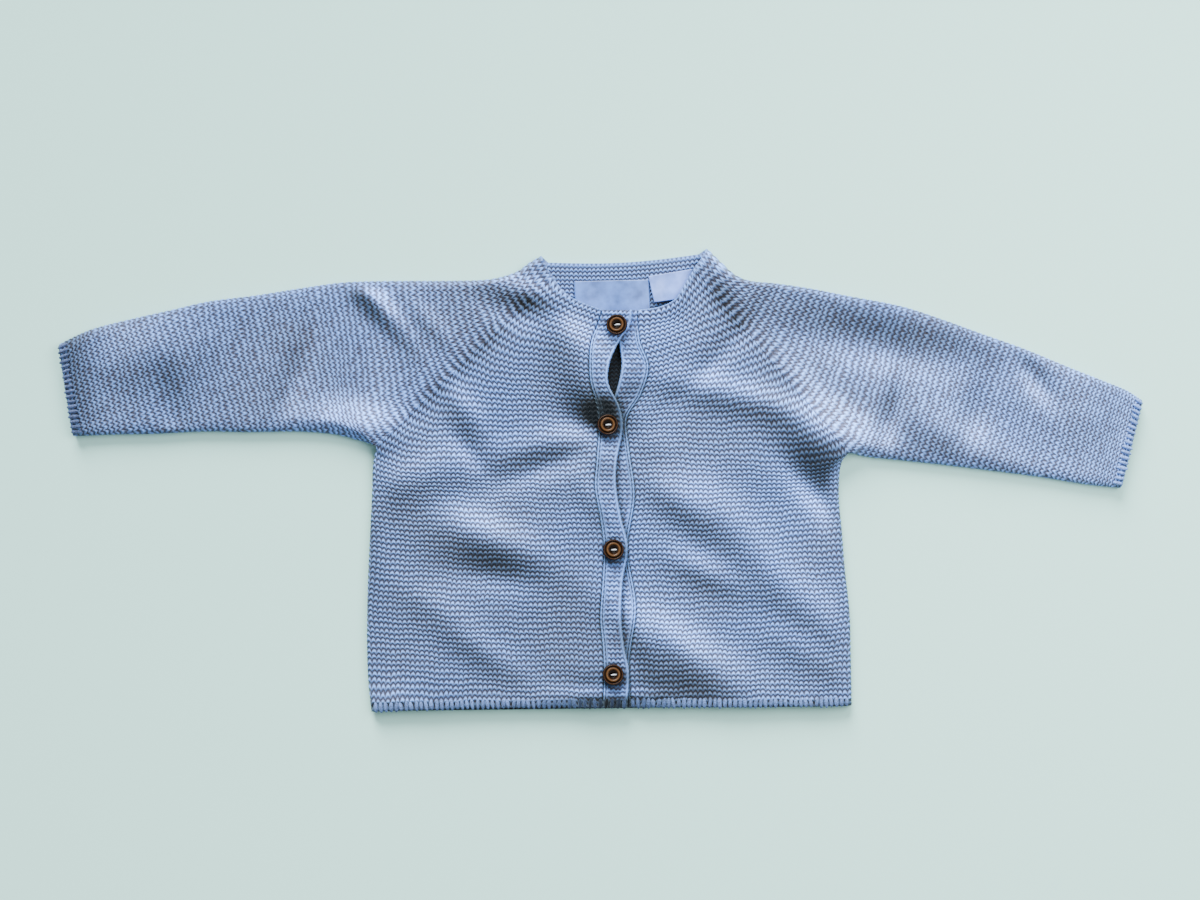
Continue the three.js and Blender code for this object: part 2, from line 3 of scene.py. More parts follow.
import bpy
import numpy as np
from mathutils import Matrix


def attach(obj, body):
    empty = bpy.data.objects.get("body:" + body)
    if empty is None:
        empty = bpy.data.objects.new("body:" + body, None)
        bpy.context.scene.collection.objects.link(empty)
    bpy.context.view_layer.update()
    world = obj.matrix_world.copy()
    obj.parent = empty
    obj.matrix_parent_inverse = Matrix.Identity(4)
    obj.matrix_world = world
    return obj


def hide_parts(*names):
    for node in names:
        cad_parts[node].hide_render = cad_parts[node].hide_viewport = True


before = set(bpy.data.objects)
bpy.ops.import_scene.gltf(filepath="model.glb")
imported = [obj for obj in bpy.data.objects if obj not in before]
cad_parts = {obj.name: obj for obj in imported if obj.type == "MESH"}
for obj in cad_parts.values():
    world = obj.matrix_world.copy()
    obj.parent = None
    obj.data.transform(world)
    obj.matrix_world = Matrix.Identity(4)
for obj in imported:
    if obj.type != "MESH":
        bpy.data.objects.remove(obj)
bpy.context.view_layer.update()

# The table: a plain pale surface under the cardigan, lit by a large soft light from the neck's side and seen
# from straight above.
FLOOR_SIZE = 6.0
FLOOR_COLOUR = (0.45, 0.76, 0.68)
VIEW_CENTRE = (-0.0003, 0.0174)
VIEW_WIDTH = 0.696
VIEW_PLANE = 0.006
CAMERA_HEIGHT = 1.3
SENSOR_WIDTH = 36.0
SIDE_LAMP_POWER = 13.0
SIDE_LAMP_PLACE = (0.50, 0.25, 0.80)


SHEEN_TINT = (0.55, 0.78, 1.0, 1.0)


def plain_material(name, colour, roughness, sheen=0.0, gloss=0.5):
    """One surface colour with the roughness, sheen and gloss given."""
    material = bpy.data.materials.new(name)
    material.use_nodes = True
    shader = material.node_tree.nodes["Principled BSDF"]
    shader.inputs["Base Color"].default_value = (*colour, 1)
    shader.inputs["Roughness"].default_value = roughness
    shader.inputs["Sheen Weight"].default_value = sheen
    shader.inputs["Sheen Tint"].default_value = SHEEN_TINT
    shader.inputs["Specular IOR Level"].default_value = gloss
    return material


def add_mesh(name, points, faces, material):
    """A mesh object at the origin, with its points as given and its faces shaded smooth."""
    mesh = bpy.data.meshes.new(name)
    mesh.from_pydata(points.reshape(-1, 3).tolist(), [], faces)
    mesh.materials.append(material)
    mesh.shade_smooth()
    piece = bpy.data.objects.new(name, mesh)
    bpy.context.scene.collection.objects.link(piece)
    return piece


half = FLOOR_SIZE / 2
floor_corners = np.array([[-half, -half, 0], [half, -half, 0], [half, half, 0], [-half, half, 0]])
floor_material = plain_material("table_surface", FLOOR_COLOUR, 0.9)
floor = add_mesh("floor", floor_corners, [[0, 1, 2, 3]], floor_material)

camera_data = bpy.data.cameras.new("camera")
camera_data.sensor_width = SENSOR_WIDTH
camera_data.lens = SENSOR_WIDTH * (CAMERA_HEIGHT - VIEW_PLANE) / VIEW_WIDTH
camera = bpy.data.objects.new("camera", camera_data)
camera.location = (*VIEW_CENTRE, CAMERA_HEIGHT)
bpy.context.scene.collection.objects.link(camera)
bpy.context.scene.camera = camera


def sun(name, azimuth, elevation, strength, softness, colour):
    """A soft distant light that comes from an azimuth, counted from +Y towards +X, at an elevation in degrees."""
    data = bpy.data.lights.new(name, "SUN")
    data.energy = strength
    data.angle = math.radians(softness)
    data.color = colour
    lamp = bpy.data.objects.new(name, data)
    lamp.rotation_euler = (math.radians(90 - elevation), 0, math.radians(180 - azimuth))
    bpy.context.scene.collection.objects.link(lamp)


sun("window_light", azimuth=-12, elevation=26, strength=11.2, softness=34, colour=(0.95, 0.985, 1.0))
lamp_data = bpy.data.lights.new("side_lamp", "AREA")
lamp_data.size = 0.7
lamp_data.energy = SIDE_LAMP_POWER
lamp_data.color = (0.95, 0.98, 1.0)
side_lamp = bpy.data.objects.new("side_lamp", lamp_data)
side_lamp.location = SIDE_LAMP_PLACE
side_lamp.rotation_euler = (math.radians(-12), math.radians(28), 0)
bpy.context.scene.collection.objects.link(side_lamp)
world = bpy.data.worlds.new("studio")
world.use_nodes = True
world.node_tree.nodes["Background"].inputs["Color"].default_value = (0.86, 0.93, 1.0, 1)
world.node_tree.nodes["Background"].inputs["Strength"].default_value = 0.45
bpy.context.scene.world = world

# The fronts: two panels of the hand knitting, in a pale grey-blue wool. Their courses run across, ridged like
# garter stitch, from the bands to the side folds, and turn upwards at the raglan lines into the sleeves.
WALL = 0.0022
LAYER_GAP = 0.0016
FOLD_RADIUS = WALL + LAYER_GAP / 2
FRONT_FLOOR = WALL + LAYER_GAP
BAND_WALL = 0.002
BAND_CLEARANCE = 0.0003
UNDERARM_COURSE = 31
HEM_COURSE = 79
CUFF_COURSE = 82
SAMPLES_PER_COURSE = 5
BAND_RISE = 0.020
NECK_CURVE_COURSES = 9
RAGLAN_TURN = 0.024
FRONT_STITCH = 0.0028
STITCH_RELIEF = 0.00065
ARCH_RISE = 0.52
NECK_STAND_RISE = 0.0022
NECK_STAND_REACH = 0.011


def table(names, rows):
    """A short table as one array for each named column."""
    return dict(zip(names.split(), np.array(rows, dtype=float).T))


LEFT_SIDE = table("course x y", [
    (31, -0.1296, 0.0197), (34, -0.1320, 0.0100), (40, -0.1328, -0.0090), (48, -0.1340, -0.0330),
    (58, -0.1353, -0.0630), (68, -0.1357, -0.0940), (75, -0.1349, -0.1170), (79, -0.1331, -0.1345),
])
RIGHT_SIDE = table("course x y", [
    (31, 0.1435, 0.0162), (34, 0.1395, 0.0081), (40, 0.1385, -0.0104), (46, 0.1401, -0.0280),
    (54, 0.1421, -0.0530), (62, 0.1447, -0.0770), (70, 0.1454, -0.1020), (79, 0.1459, -0.1310),
])
SEAM_COURSES = table("course y", [(0, 0.0984), (4, 0.0866), (31, 0.0128), (79, -0.1318)])
BUTTONHOLE_BAND = table("y left right", [
    (-0.1318, 0.0012, 0.0154), (-0.1120, 0.0018, 0.0166), (-0.0970, 0.0012, 0.0138), (-0.0800, -0.0004, 0.0121),
    (-0.0600, 0.0008, 0.0128), (-0.0390, 0.0017, 0.0158), (-0.0220, -0.0004, 0.0120), (-0.0040, -0.0035, 0.0092),
    (0.0100, -0.0026, 0.0094), (0.0300, -0.0012, 0.0129), (0.0420, -0.0017, 0.0112), (0.0560, -0.0060, 0.0046),
    (0.0680, -0.0068, 0.0054), (0.0800, -0.0058, 0.0106), (0.0900, -0.0022, 0.0170), (0.0984, 0.0009, 0.0186),
])
BUTTON_BAND = table("y left right", [
    (-0.1318, 0.0050, 0.0176), (-0.1050, 0.0044, 0.0170), (-0.0740, 0.0082, 0.0208), (-0.0400, 0.0034, 0.0160),
    (-0.0090, 0.0074, 0.0200), (0.0200, 0.0040, 0.0165), (0.0360, 0.0028, 0.0156), (0.0500, 0.0086, 0.0238),
    (0.0660, 0.0122, 0.0281), (0.0800, 0.0104, 0.0232), (0.0984, 0.0070, 0.0212),
])
LEFT_NECK = table("at x y", [(0, -0.0275, 0.1177), (0.3, -0.0196, 0.1088), (0.6, -0.0107, 0.1032), (1, 0.0009, 0.0982)])
RIGHT_NECK = table("at x y", [
    (0, 0.0542, 0.1230), (0.25, 0.0488, 0.1150), (0.5, 0.0430, 0.1054), (0.75, 0.0338, 0.1006), (1, 0.0212, 0.0986),
])

# Each fold is a soft ridge, or a trough where its height is below zero: where it is, the way it runs in degrees,
# its half length, its half width and its height.
FOLDS = table("x y angle length width height", [
    (-0.066, -0.034, -22, 0.032, 0.0130, 0.0022), (-0.065, -0.055, -8, 0.026, 0.0095, -0.0008),
    (-0.034, 0.020, 9, 0.028, 0.0084, 0.0006), (-0.033, 0.008, 20, 0.032, 0.0079, -0.0008),
    (-0.004, 0.053, -46, 0.028, 0.0125, 0.0028), (-0.003, 0.031, -22, 0.020, 0.0110, -0.0024),
    (-0.078, 0.040, -53, 0.016, 0.0071, 0.0009), (-0.077, 0.018, -51, 0.016, 0.0065, -0.0008),
    (-0.073, -0.095, -35, 0.032, 0.0092, 0.0008), (-0.094, -0.073, -25, 0.025, 0.0080, 0.0004),
    (-0.107, 0.002, 17, 0.027, 0.0147, 0.0017), (0.044, -0.098, -35, 0.048, 0.0140, 0.0024),
    (0.080, 0.048, -14, 0.045, 0.0095, 0.0013), (0.126, 0.024, -45, 0.028, 0.0131, 0.0029),
    (0.125, -0.006, -48, 0.026, 0.0091, -0.0019), (0.069, 0.073, 46, 0.036, 0.0070, -0.0006),
    (-0.178, 0.058, 70, 0.026, 0.008, -0.0010), (-0.248, 0.040, -78, 0.020, 0.009, -0.0014),
    (0.168, 0.036, 80, 0.018, 0.006, -0.0016), (0.252, 0.060, -55, 0.018, 0.007, -0.0015),
    (-0.100, 0.092, -48, 0.018, 0.006, 0.0006), (0.216, 0.034, 74, 0.022, 0.009, -0.0012),
    (0.069, -0.019, -38, 0.036, 0.0122, 0.0012), (0.109, -0.065, -41, 0.052, 0.0131, 0.0015),
    (0.035, -0.127, -2, 0.035, 0.0091, -0.0010), (0.028, 0.021, -10, 0.022, 0.0084, 0.0003),
    (0.119, -0.100, -32, 0.028, 0.0094, 0.0007), (-0.128, 0.100, -49, 0.027, 0.0064, 0.0014),
    (-0.143, 0.029, -5, 0.030, 0.0133, 0.0030), (-0.262, 0.073, 12, 0.033, 0.0175, 0.0013),
    (0.163, 0.077, -11, 0.060, 0.0147, -0.0019), (0.145, 0.022, -28, 0.024, 0.0146, 0.0029),
    (0.210, 0.022, -27, 0.039, 0.0128, 0.0015), (0.274, 0.037, -15, 0.024, 0.0107, 0.0003),
    (0.115, 0.054, -37, 0.027, 0.0091, 0.0008), (-0.048, 0.097, -16, 0.019, 0.0082, -0.0007),
    (0.069, 0.119, -60, 0.015, 0.0082, 0.0013), (-0.003, -0.012, -55, 0.021, 0.0074, 0.0007),
    (0.045, -0.013, -38, 0.022, 0.0095, 0.0011), (0.059, -0.053, -25, 0.024, 0.0090, 0.0011),
    (-0.135, 0.108, -50, 0.020, 0.0062, 0.0012), (-0.046, 0.110, -12, 0.022, 0.0070, 0.0008),
    (0.012, -0.126, 0, 0.040, 0.0060, 0.0011), (0.022, -0.092, -62, 0.022, 0.0075, 0.0009),
    (-0.0125, 0.079, -44, 0.026, 0.0115, 0.0026),
])


def smooth(t):
    """Zero below 0, one above 1, and an S curve between."""
    s = np.clip(t, 0, 1)
    return s * s * (3 - 2 * s)


def mix(a, b, t):
    """The share t of the way from a to b."""
    return a + (b - a) * t


def read(rows, key, value, column):
    """A smooth curve through the rows of a table: a cubic between two rows, with the slopes of the chords that
    span each row's neighbours."""
    keys = rows[key]
    values = rows[column]
    last = len(keys) - 1
    after = np.clip(np.searchsorted(keys, value), 1, last)
    before = after - 1
    outer_before = np.clip(before - 1, 0, last)
    outer_after = np.clip(after + 1, 0, last)
    span = keys[after] - keys[before]
    t = (value - keys[before]) / span
    slope_in = (values[after] - values[outer_before]) / (keys[after] - keys[outer_before])
    slope_out = (values[outer_after] - values[before]) / (keys[outer_after] - keys[before])
    return (
        values[before] * (1 + 2 * t) * (1 - t) ** 2
        + values[after] * t * t * (3 - 2 * t)
        + slope_in * span * t * (1 - t) ** 2
        - slope_out * span * t * t * (1 - t)
    )


def read_point(rows, key, value):
    """The x and y of a table at a key, side by side."""
    return np.stack([read(rows, key, value, "x"), read(rows, key, value, "y")], -1)


def edge_point(raglan_top, rows, course):
    """Straight down the raglan line to the underarm, and along the table below it."""
    underarm = np.array([rows["x"][0], rows["y"][0]])
    share = (np.minimum(course, UNDERARM_COURSE) / UNDERARM_COURSE)[..., None]
    below = read_point(rows, "course", np.maximum(course, UNDERARM_COURSE))
    return np.where(course[..., None] < UNDERARM_COURSE, mix(np.array(raglan_top), underarm, share), below)


def seam_point(band, edge, course):
    """The point of a course on one edge of a band."""
    y = read(SEAM_COURSES, "course", course, "y")
    return np.stack([read(band, "y", y, edge), y], -1)


# Soft patches of painted shade on the wool, or of painted light where the depth is below zero.
PAINTED_LIGHT_AND_SHADE_PATCHES = table("x y angle length width depth", [
    (0.028, 0.092, -15, 0.023, 0.0135, -0.62), (0.019, -0.1275, 0, 0.034, 0.0110, 0.62),
    (0.016, 0.051, 0, 0.009, 0.009, 0.60), (-0.005, 0.024, 90, 0.014, 0.010, 0.46),
    (-0.024, 0.098, -20, 0.014, 0.0095, 0.36), (-0.130, 0.021, -15, 0.016, 0.010, -0.45),
    (0.153, 0.016, 0, 0.011, 0.011, -0.50), (0.307, 0.021, 70, 0.016, 0.010, -0.45),
    (0.270, 0.064, -20, 0.024, 0.010, -0.42), (-0.121, -0.127, 0, 0.015, 0.015, -0.40),
    (-0.251, 0.032, 0, 0.013, 0.009, 0.24), (0.000, 0.010, 90, 0.045, 0.007, 0.16),
    (0.058, 0.113, 60, 0.013, 0.008, -0.35), (-0.183, 0.043, 0, 0.012, 0.010, 0.20),
    (0.249, 0.057, -30, 0.014, 0.007, 0.22), (0.052, -0.041, -25, 0.018, 0.009, 0.17),
    (-0.127, 0.070, 90, 0.026, 0.010, -0.22), (0.018, 0.076, 70, 0.012, 0.007, -0.25),
    (0.262, 0.008, -12, 0.045, 0.008, -0.26), (-0.133, -0.035, 90, 0.040, 0.006, 0.25),
    (-0.040, -0.131, 0, 0.028, 0.005, -0.25), (-0.008, -0.120, 0, 0.014, 0.009, 0.38),
    (0.005, 0.044, 90, 0.012, 0.009, 0.34),
])


def bells(rows, x, y):
    """The sum of a table's rows, each of them falling off as a bell along and across its line."""
    total = np.zeros_like(x)
    for centre_x, centre_y, angle, length, width, height in np.array(list(rows.values())).T:
        turn = math.radians(angle)
        along = (x - centre_x) * math.cos(turn) + (y - centre_y) * math.sin(turn)
        across = (y - centre_y) * math.cos(turn) - (x - centre_x) * math.sin(turn)
        total += height * np.exp(-((along / length) ** 2) - (across / width) ** 2)
    return total


def fold_height(x, y):
    """The height of all folds together."""
    return bells(FOLDS, x, y)


# Painted shade and painted light from the slope of the folds, as the light from the neck's side falls on them.
SLOPE_SHADE_STEP = 0.001
SLOPE_SHADE_GAIN = 6.0
DARKEST_SHADE_SLOPE = -0.34
LIGHTEST_SHADE_SLOPE = 0.15


def painted_slope_shade(relief_at, x, y):
    """Painted shade from the slope of the folds: the wool is painted lighter on slopes that face the neck and
    darker on those that face the hem, as the light from the neck's side would shade them."""
    slope = (relief_at(x, y - SLOPE_SHADE_STEP) - relief_at(x, y + SLOPE_SHADE_STEP)) / (2 * SLOPE_SHADE_STEP)
    return 1 - np.exp(SLOPE_SHADE_GAIN * np.clip(slope, DARKEST_SHADE_SLOPE, LIGHTEST_SHADE_SLOPE))


def hand_unevenness(x, y):
    """Small swells of hand knitting: two pairs of slow waves that cross one another."""
    first = np.sin(210 * x + 95 * y + 1.3) * np.sin(160 * y - 70 * x)
    second = np.sin(420 * x - 260 * y + 0.7) * np.sin(330 * y + 120 * x + 2.1)
    return 0.00016 * first + 0.0001 * second


def course_waver(x, y):
    """How far the courses wander from their even places, in courses: slow waves and short ones."""
    slow = np.sin(95 * x + 40 * y + 0.4) * np.sin(70 * y - 55 * x)
    short = np.sin(330 * x + 210 * y) * np.sin(290 * y - 120 * x + 1.1)
    return 0.26 * slow + 0.13 * short


def stitch_height(stitch, course):
    """From 0 in the hollows to 1 on the yarn: each course is a cord that swings up and down in every stitch."""
    arch = np.abs(np.sin(np.pi * stitch))
    return 0.5 + 0.5 * np.cos(2 * np.pi * (course + ARCH_RISE * arch))


def turned_rows(edge, end, beyond, share, turn):
    """Rows from an edge to an end, straight but for a rounded turn at the edge, where they run on towards the
    point beyond. The rounding is a parabola along the bisector of the corner."""
    towards = end - edge
    length = np.linalg.norm(towards, axis=-1, keepdims=True)
    away = beyond - edge
    away_length = np.linalg.norm(away, axis=-1, keepdims=True)
    bisector = towards / length + away / away_length
    bisector /= np.maximum(np.linalg.norm(bisector, axis=-1, keepdims=True), 1e-9)
    cosine = np.sum(bisector * towards / length, -1, keepdims=True)
    reach = np.minimum(RAGLAN_TURN, 0.8 * np.minimum(length, away_length))
    distance = share * length
    rounding = 0.5 * cosine * reach * np.clip(1 - distance / reach, 0, 1) ** 2
    offset = rounding - 0.5 * cosine * reach * (1 - share)
    return edge[:, None] + towards[:, None] * share[..., None] + (offset * turn)[..., None] * bisector[:, None]


def shell(name, outer, inner, thinning, stitches, material, plain=None, shade=None):
    """A closed wall between two grids of points. The inner grid keeps one row and one column in every few, and
    many-sided faces join it to the outer grid along the four borders. Stitch coordinates go into a UV map. Plain
    is one where the yarn lies smooth and is painted in a light tone between the yarn's and the crests', a painted
    highlight, and shade is the painted shade, one where no light reaches, with painted light below zero."""
    rows, columns = outer.shape[:2]
    coarse = inner[::thinning, ::thinning]
    fine_index = np.arange(rows * columns).reshape(rows, columns)
    coarse_index = np.arange(coarse.shape[0] * coarse.shape[1]).reshape(coarse.shape[:2]) + rows * columns
    fine_quads = np.stack(
        [fine_index[:-1, :-1], fine_index[:-1, 1:], fine_index[1:, 1:], fine_index[1:, :-1]], -1
    ).reshape(-1, 4)
    coarse_quads = np.stack(
        [coarse_index[:-1, :-1], coarse_index[1:, :-1], coarse_index[1:, 1:], coarse_index[:-1, 1:]], -1
    ).reshape(-1, 4)
    borders = []
    for fine, under, ahead in (
        (fine_index[0], coarse_index[0], False),
        (fine_index[-1], coarse_index[-1], True),
        (fine_index[:, 0], coarse_index[:, 0], True),
        (fine_index[:, -1], coarse_index[:, -1], False),
    ):
        starts = np.arange(len(under) - 1)[:, None] * thinning
        run = fine[starts + np.arange(thinning + 1)]
        face = np.concatenate([run, under[1:, None], under[:-1, None]], 1)
        borders += (face if ahead else face[:, ::-1]).tolist()
    points = np.concatenate([outer.reshape(-1, 3), coarse.reshape(-1, 3)])
    faces = fine_quads.tolist() + coarse_quads.tolist() + borders
    thin = outer[::thinning, ::thinning]
    normal = np.cross(thin[1:, 1:] - thin[:-1, :-1], thin[1:, :-1] - thin[:-1, 1:])
    if np.sum(normal * (thin - coarse)[:-1, :-1]) < 0:
        faces = [face[::-1] for face in faces]
    piece = add_mesh(name, points, faces, material)
    values = np.concatenate([stitches.reshape(-1, 2), stitches[::thinning, ::thinning].reshape(-1, 2)])
    corner_points = np.empty(len(piece.data.loops), dtype=np.int32)
    piece.data.loops.foreach_get("vertex_index", corner_points)
    layer = piece.data.uv_layers.new(name="Stitches")
    layer.data.foreach_set("uv", values[corner_points].astype(np.float32).ravel())
    for attribute, grid in (("Plain", plain), ("Shade", shade)):
        if grid is not None:
            full = grid + np.zeros((rows, columns))
            values = np.concatenate([full.ravel(), full[::thinning, ::thinning].ravel()]).astype(np.float32)
            piece.data.attributes.new(attribute, "FLOAT", "POINT").data.foreach_set("value", values)
    return piece


def link_maths(tree, operation, first, second=None):
    """A math node on two inputs, each a socket or a number, and its output."""
    node = tree.nodes.new("ShaderNodeMath")
    node.operation = operation
    for socket, value in zip(node.inputs, (first, second)):
        if isinstance(value, bpy.types.NodeSocket):
            tree.links.new(value, socket)
        elif value is not None:
            socket.default_value = value
    return node.outputs[0]


def noise(tree, coordinates, scale, detail=2.0):
    """A noise from 0 to 1 with so many features in a metre."""
    node = tree.nodes.new("ShaderNodeTexNoise")
    node.inputs["Scale"].default_value = scale
    node.inputs["Detail"].default_value = detail
    tree.links.new(coordinates, node.inputs["Vector"])
    return node.outputs["Fac"]


def colour_ramp(tree, value, stops):
    """Colours blended along a value, from stops of place and colour."""
    node = tree.nodes.new("ShaderNodeValToRGB")
    ramp = node.color_ramp
    while len(ramp.elements) < len(stops):
        ramp.elements.new(0.5)
    for element, (place, colour) in zip(ramp.elements, stops):
        element.position = place
        element.color = (*colour, 1)
    tree.links.new(value, node.inputs["Fac"])
    return node.outputs["Color"]


def scaled_colour(tree, colour, factor):
    """A colour made lighter or darker by a factor."""
    node = tree.nodes.new("ShaderNodeVectorMath")
    node.operation = "SCALE"
    tree.links.new(colour, node.inputs[0])
    tree.links.new(factor, node.inputs["Scale"])
    return node.outputs[0]


def bumped(tree, height, strength, distance):
    """A surface normal from a height."""
    node = tree.nodes.new("ShaderNodeBump")
    node.inputs["Strength"].default_value = strength
    node.inputs["Distance"].default_value = distance
    tree.links.new(height, node.inputs["Height"])
    return node.outputs["Normal"]


# The knitting's tones from dark to light: the hole and dip tones are painted shade between the courses, the yarn tone
# is the wool's own colour, and the crest tone and the arch light are a painted highlight on the yarn.
WOOL_HOLE = (0.029, 0.027, 0.038)
WOOL_DIP = (0.061, 0.066, 0.114)
WOOL_YARN = (0.102, 0.160, 0.360)
WOOL_CREST = (0.164, 0.385, 1.0)
FIBRE_SCALE = 1500
PATCH_SCALE = 26
FIBRE_BUMP = 0.00018
STITCH_BUMP = 0.00045
ARCH_LIGHT = 0.40
HOLLOW_FILL = 0.20
TINT_SCALE = 14
WARM_TINT = (1.0, 0.93, 0.84)
COOL_TINT = (0.92, 0.97, 1.0)
SHADE_TINT = (1.0, 0.82, 0.62)
DEEP_SHADE_TINT = (1.0, 0.66, 0.36)
WANDER_SCALE = 260
WANDER = 0.55


def knit_material(name):
    """Wool whose yarn is painted light on each arch of a course, a painted highlight, and dark in the holes between,
    painted shade, by the same formula as stitch_height, with loose fibres and slow patches of lighter and darker
    wool. The Shade attribute darkens it as painted shade, warmer where deep, and lightens it as painted light below
    zero."""
    material = plain_material(name, WOOL_YARN, 0.92, sheen=0.28, gloss=0.15)
    tree = material.node_tree
    shader = tree.nodes["Principled BSDF"]
    stitches = tree.nodes.new("ShaderNodeUVMap")
    stitches.uv_map = "Stitches"
    split = tree.nodes.new("ShaderNodeSeparateXYZ")
    tree.links.new(stitches.outputs["UV"], split.inputs[0])
    place = tree.nodes.new("ShaderNodeTexCoord").outputs["Object"]
    fibres = noise(tree, place, FIBRE_SCALE, 4.0)
    drift = noise(tree, place, WANDER_SCALE)
    wander = link_maths(tree, "MULTIPLY", link_maths(tree, "SUBTRACT", drift, 0.5), WANDER)
    stitch = link_maths(tree, "ADD", split.outputs["X"], wander)
    course = link_maths(tree, "ADD", split.outputs["Y"], link_maths(tree, "MULTIPLY", wander, 0.5))
    arch = link_maths(tree, "ABSOLUTE", link_maths(tree, "SINE", link_maths(tree, "MULTIPLY", stitch, math.pi)))
    raised = link_maths(tree, "ADD", course, link_maths(tree, "MULTIPLY", arch, ARCH_RISE))
    wave = link_maths(tree, "COSINE", link_maths(tree, "MULTIPLY", raised, 2 * math.pi))
    ridge = link_maths(tree, "MULTIPLY_ADD", wave, 0.5)
    ridge.node.inputs[2].default_value = 0.5
    plain = tree.nodes.new("ShaderNodeAttribute")
    plain.attribute_name = "Plain"
    bare = plain.outputs["Fac"]
    height = link_maths(tree, "ADD", ridge, link_maths(tree, "MULTIPLY", link_maths(tree, "SUBTRACT", 0.9, ridge), bare))
    tops = link_maths(tree, "MULTIPLY_ADD", arch, ARCH_LIGHT)
    tops.node.inputs[2].default_value = 1 - ARCH_LIGHT
    lit = link_maths(tree, "MULTIPLY", height, link_maths(tree, "MAXIMUM", tops, bare))
    hollow = link_maths(tree, "MULTIPLY", arch, link_maths(tree, "SUBTRACT", 1.0, height))
    lit = link_maths(tree, "ADD", lit, link_maths(tree, "MULTIPLY", hollow, HOLLOW_FILL))
    fuzzy = link_maths(tree, "ADD", lit, link_maths(tree, "MULTIPLY", link_maths(tree, "SUBTRACT", fibres, 0.5), 0.6))
    colour = colour_ramp(
        tree, fuzzy, [(0.0, WOOL_HOLE), (0.25, WOOL_DIP), (0.55, WOOL_YARN), (1.0, WOOL_CREST)]
    )
    tint = colour_ramp(tree, noise(tree, place, TINT_SCALE), [(0.35, WARM_TINT), (0.65, COOL_TINT)])
    tinted = tree.nodes.new("ShaderNodeVectorMath")
    tinted.operation = "MULTIPLY"
    tree.links.new(colour, tinted.inputs[0])
    tree.links.new(tint, tinted.inputs[1])
    depth = tree.nodes.new("ShaderNodeAttribute")
    depth.attribute_name = "Shade"
    warmth = colour_ramp(tree, depth.outputs["Fac"], [(0.0, (1, 1, 1)), (0.8, SHADE_TINT), (0.93, DEEP_SHADE_TINT)])
    warmed = tree.nodes.new("ShaderNodeVectorMath")
    warmed.operation = "MULTIPLY"
    tree.links.new(tinted.outputs[0], warmed.inputs[0])
    tree.links.new(warmth, warmed.inputs[1])
    patches = link_maths(tree, "MULTIPLY_ADD", noise(tree, place, PATCH_SCALE, 3.0), 0.36)
    patches.node.inputs[2].default_value = 0.82
    shaded = link_maths(tree, "MULTIPLY", patches, link_maths(tree, "SUBTRACT", 1.0, depth.outputs["Fac"]))
    tree.links.new(scaled_colour(tree, warmed.outputs[0], shaded), shader.inputs["Base Color"])
    total = link_maths(tree, "ADD", height, link_maths(tree, "MULTIPLY", fibres, FIBRE_BUMP / STITCH_BUMP))
    tree.links.new(bumped(tree, total, 0.8, STITCH_BUMP), shader.inputs["Normal"])
    return material


wool = knit_material("grey_blue_wool")

EDGE_FOLD_STEPS = 6
FRONT_COLUMNS = 150
LOWEST_TROUGH = -0.0007
LOFT = 0.0010
CALM_SHARE = 0.10
CALM_MARGIN = 0.006
SHADE_MARGIN = 0.014
SIDE_SWEEP = 2.6


def course_samples(last):
    """Every course from the neck down, with a few samples in each."""
    return np.arange(last * SAMPLES_PER_COURSE + 1) / SAMPLES_PER_COURSE


def neck_stand(course):
    """The small upright collar: the cloth rises over the last courses before the neck edge."""
    return NECK_STAND_RISE * (1 - smooth(course * FRONT_STITCH / NECK_STAND_REACH))


def neck_rim(course):
    """Seven tenths on the smooth cast-off edge along the neck and zero below it: as Plain, a painted highlight."""
    return 0.7 - 0.7 * smooth((course - 0.1) / 0.4)


RAGLAN_REACH = 0.0105
RAGLAN_GROOVE_SHADE = 0.55
RAGLAN_RIDGE = 0.5
SEAM_SHADE = 0.5
EDGE_SHADE = 0.30
HEM_EDGE_SHADE = 0.75
LOW_SHADE_START = 38
LOW_SHADE_REACH = 24
SEAM_GROOVE = 0.0014


def cast_off(course, last):
    """One on the last course and a half, which the stitches of the edge cover, and zero before."""
    return smooth((course - last + 1.5) / 0.4)


def bell(distance, width):
    """One at the middle and soft to zero within the width on both sides."""
    return np.exp(-((distance / width) ** 2) * 3)


def raglan_pull(distance, course):
    """One on the raglan line, where the decreases pull the courses into deeper ridges, and soft to zero at the
    reach and below the underarm."""
    along = smooth((course + 3) / 12) * (1 - smooth((course - UNDERARM_COURSE + 5) / 6))
    return bell(distance, RAGLAN_REACH) * along[:, None]


def groove_shade(pull, course):
    """The deeper shade between two courses beside the raglan line."""
    return RAGLAN_GROOVE_SHADE * pull * (0.5 - 0.5 * np.cos(2 * np.pi * (course + 0.5 * ARCH_RISE)))


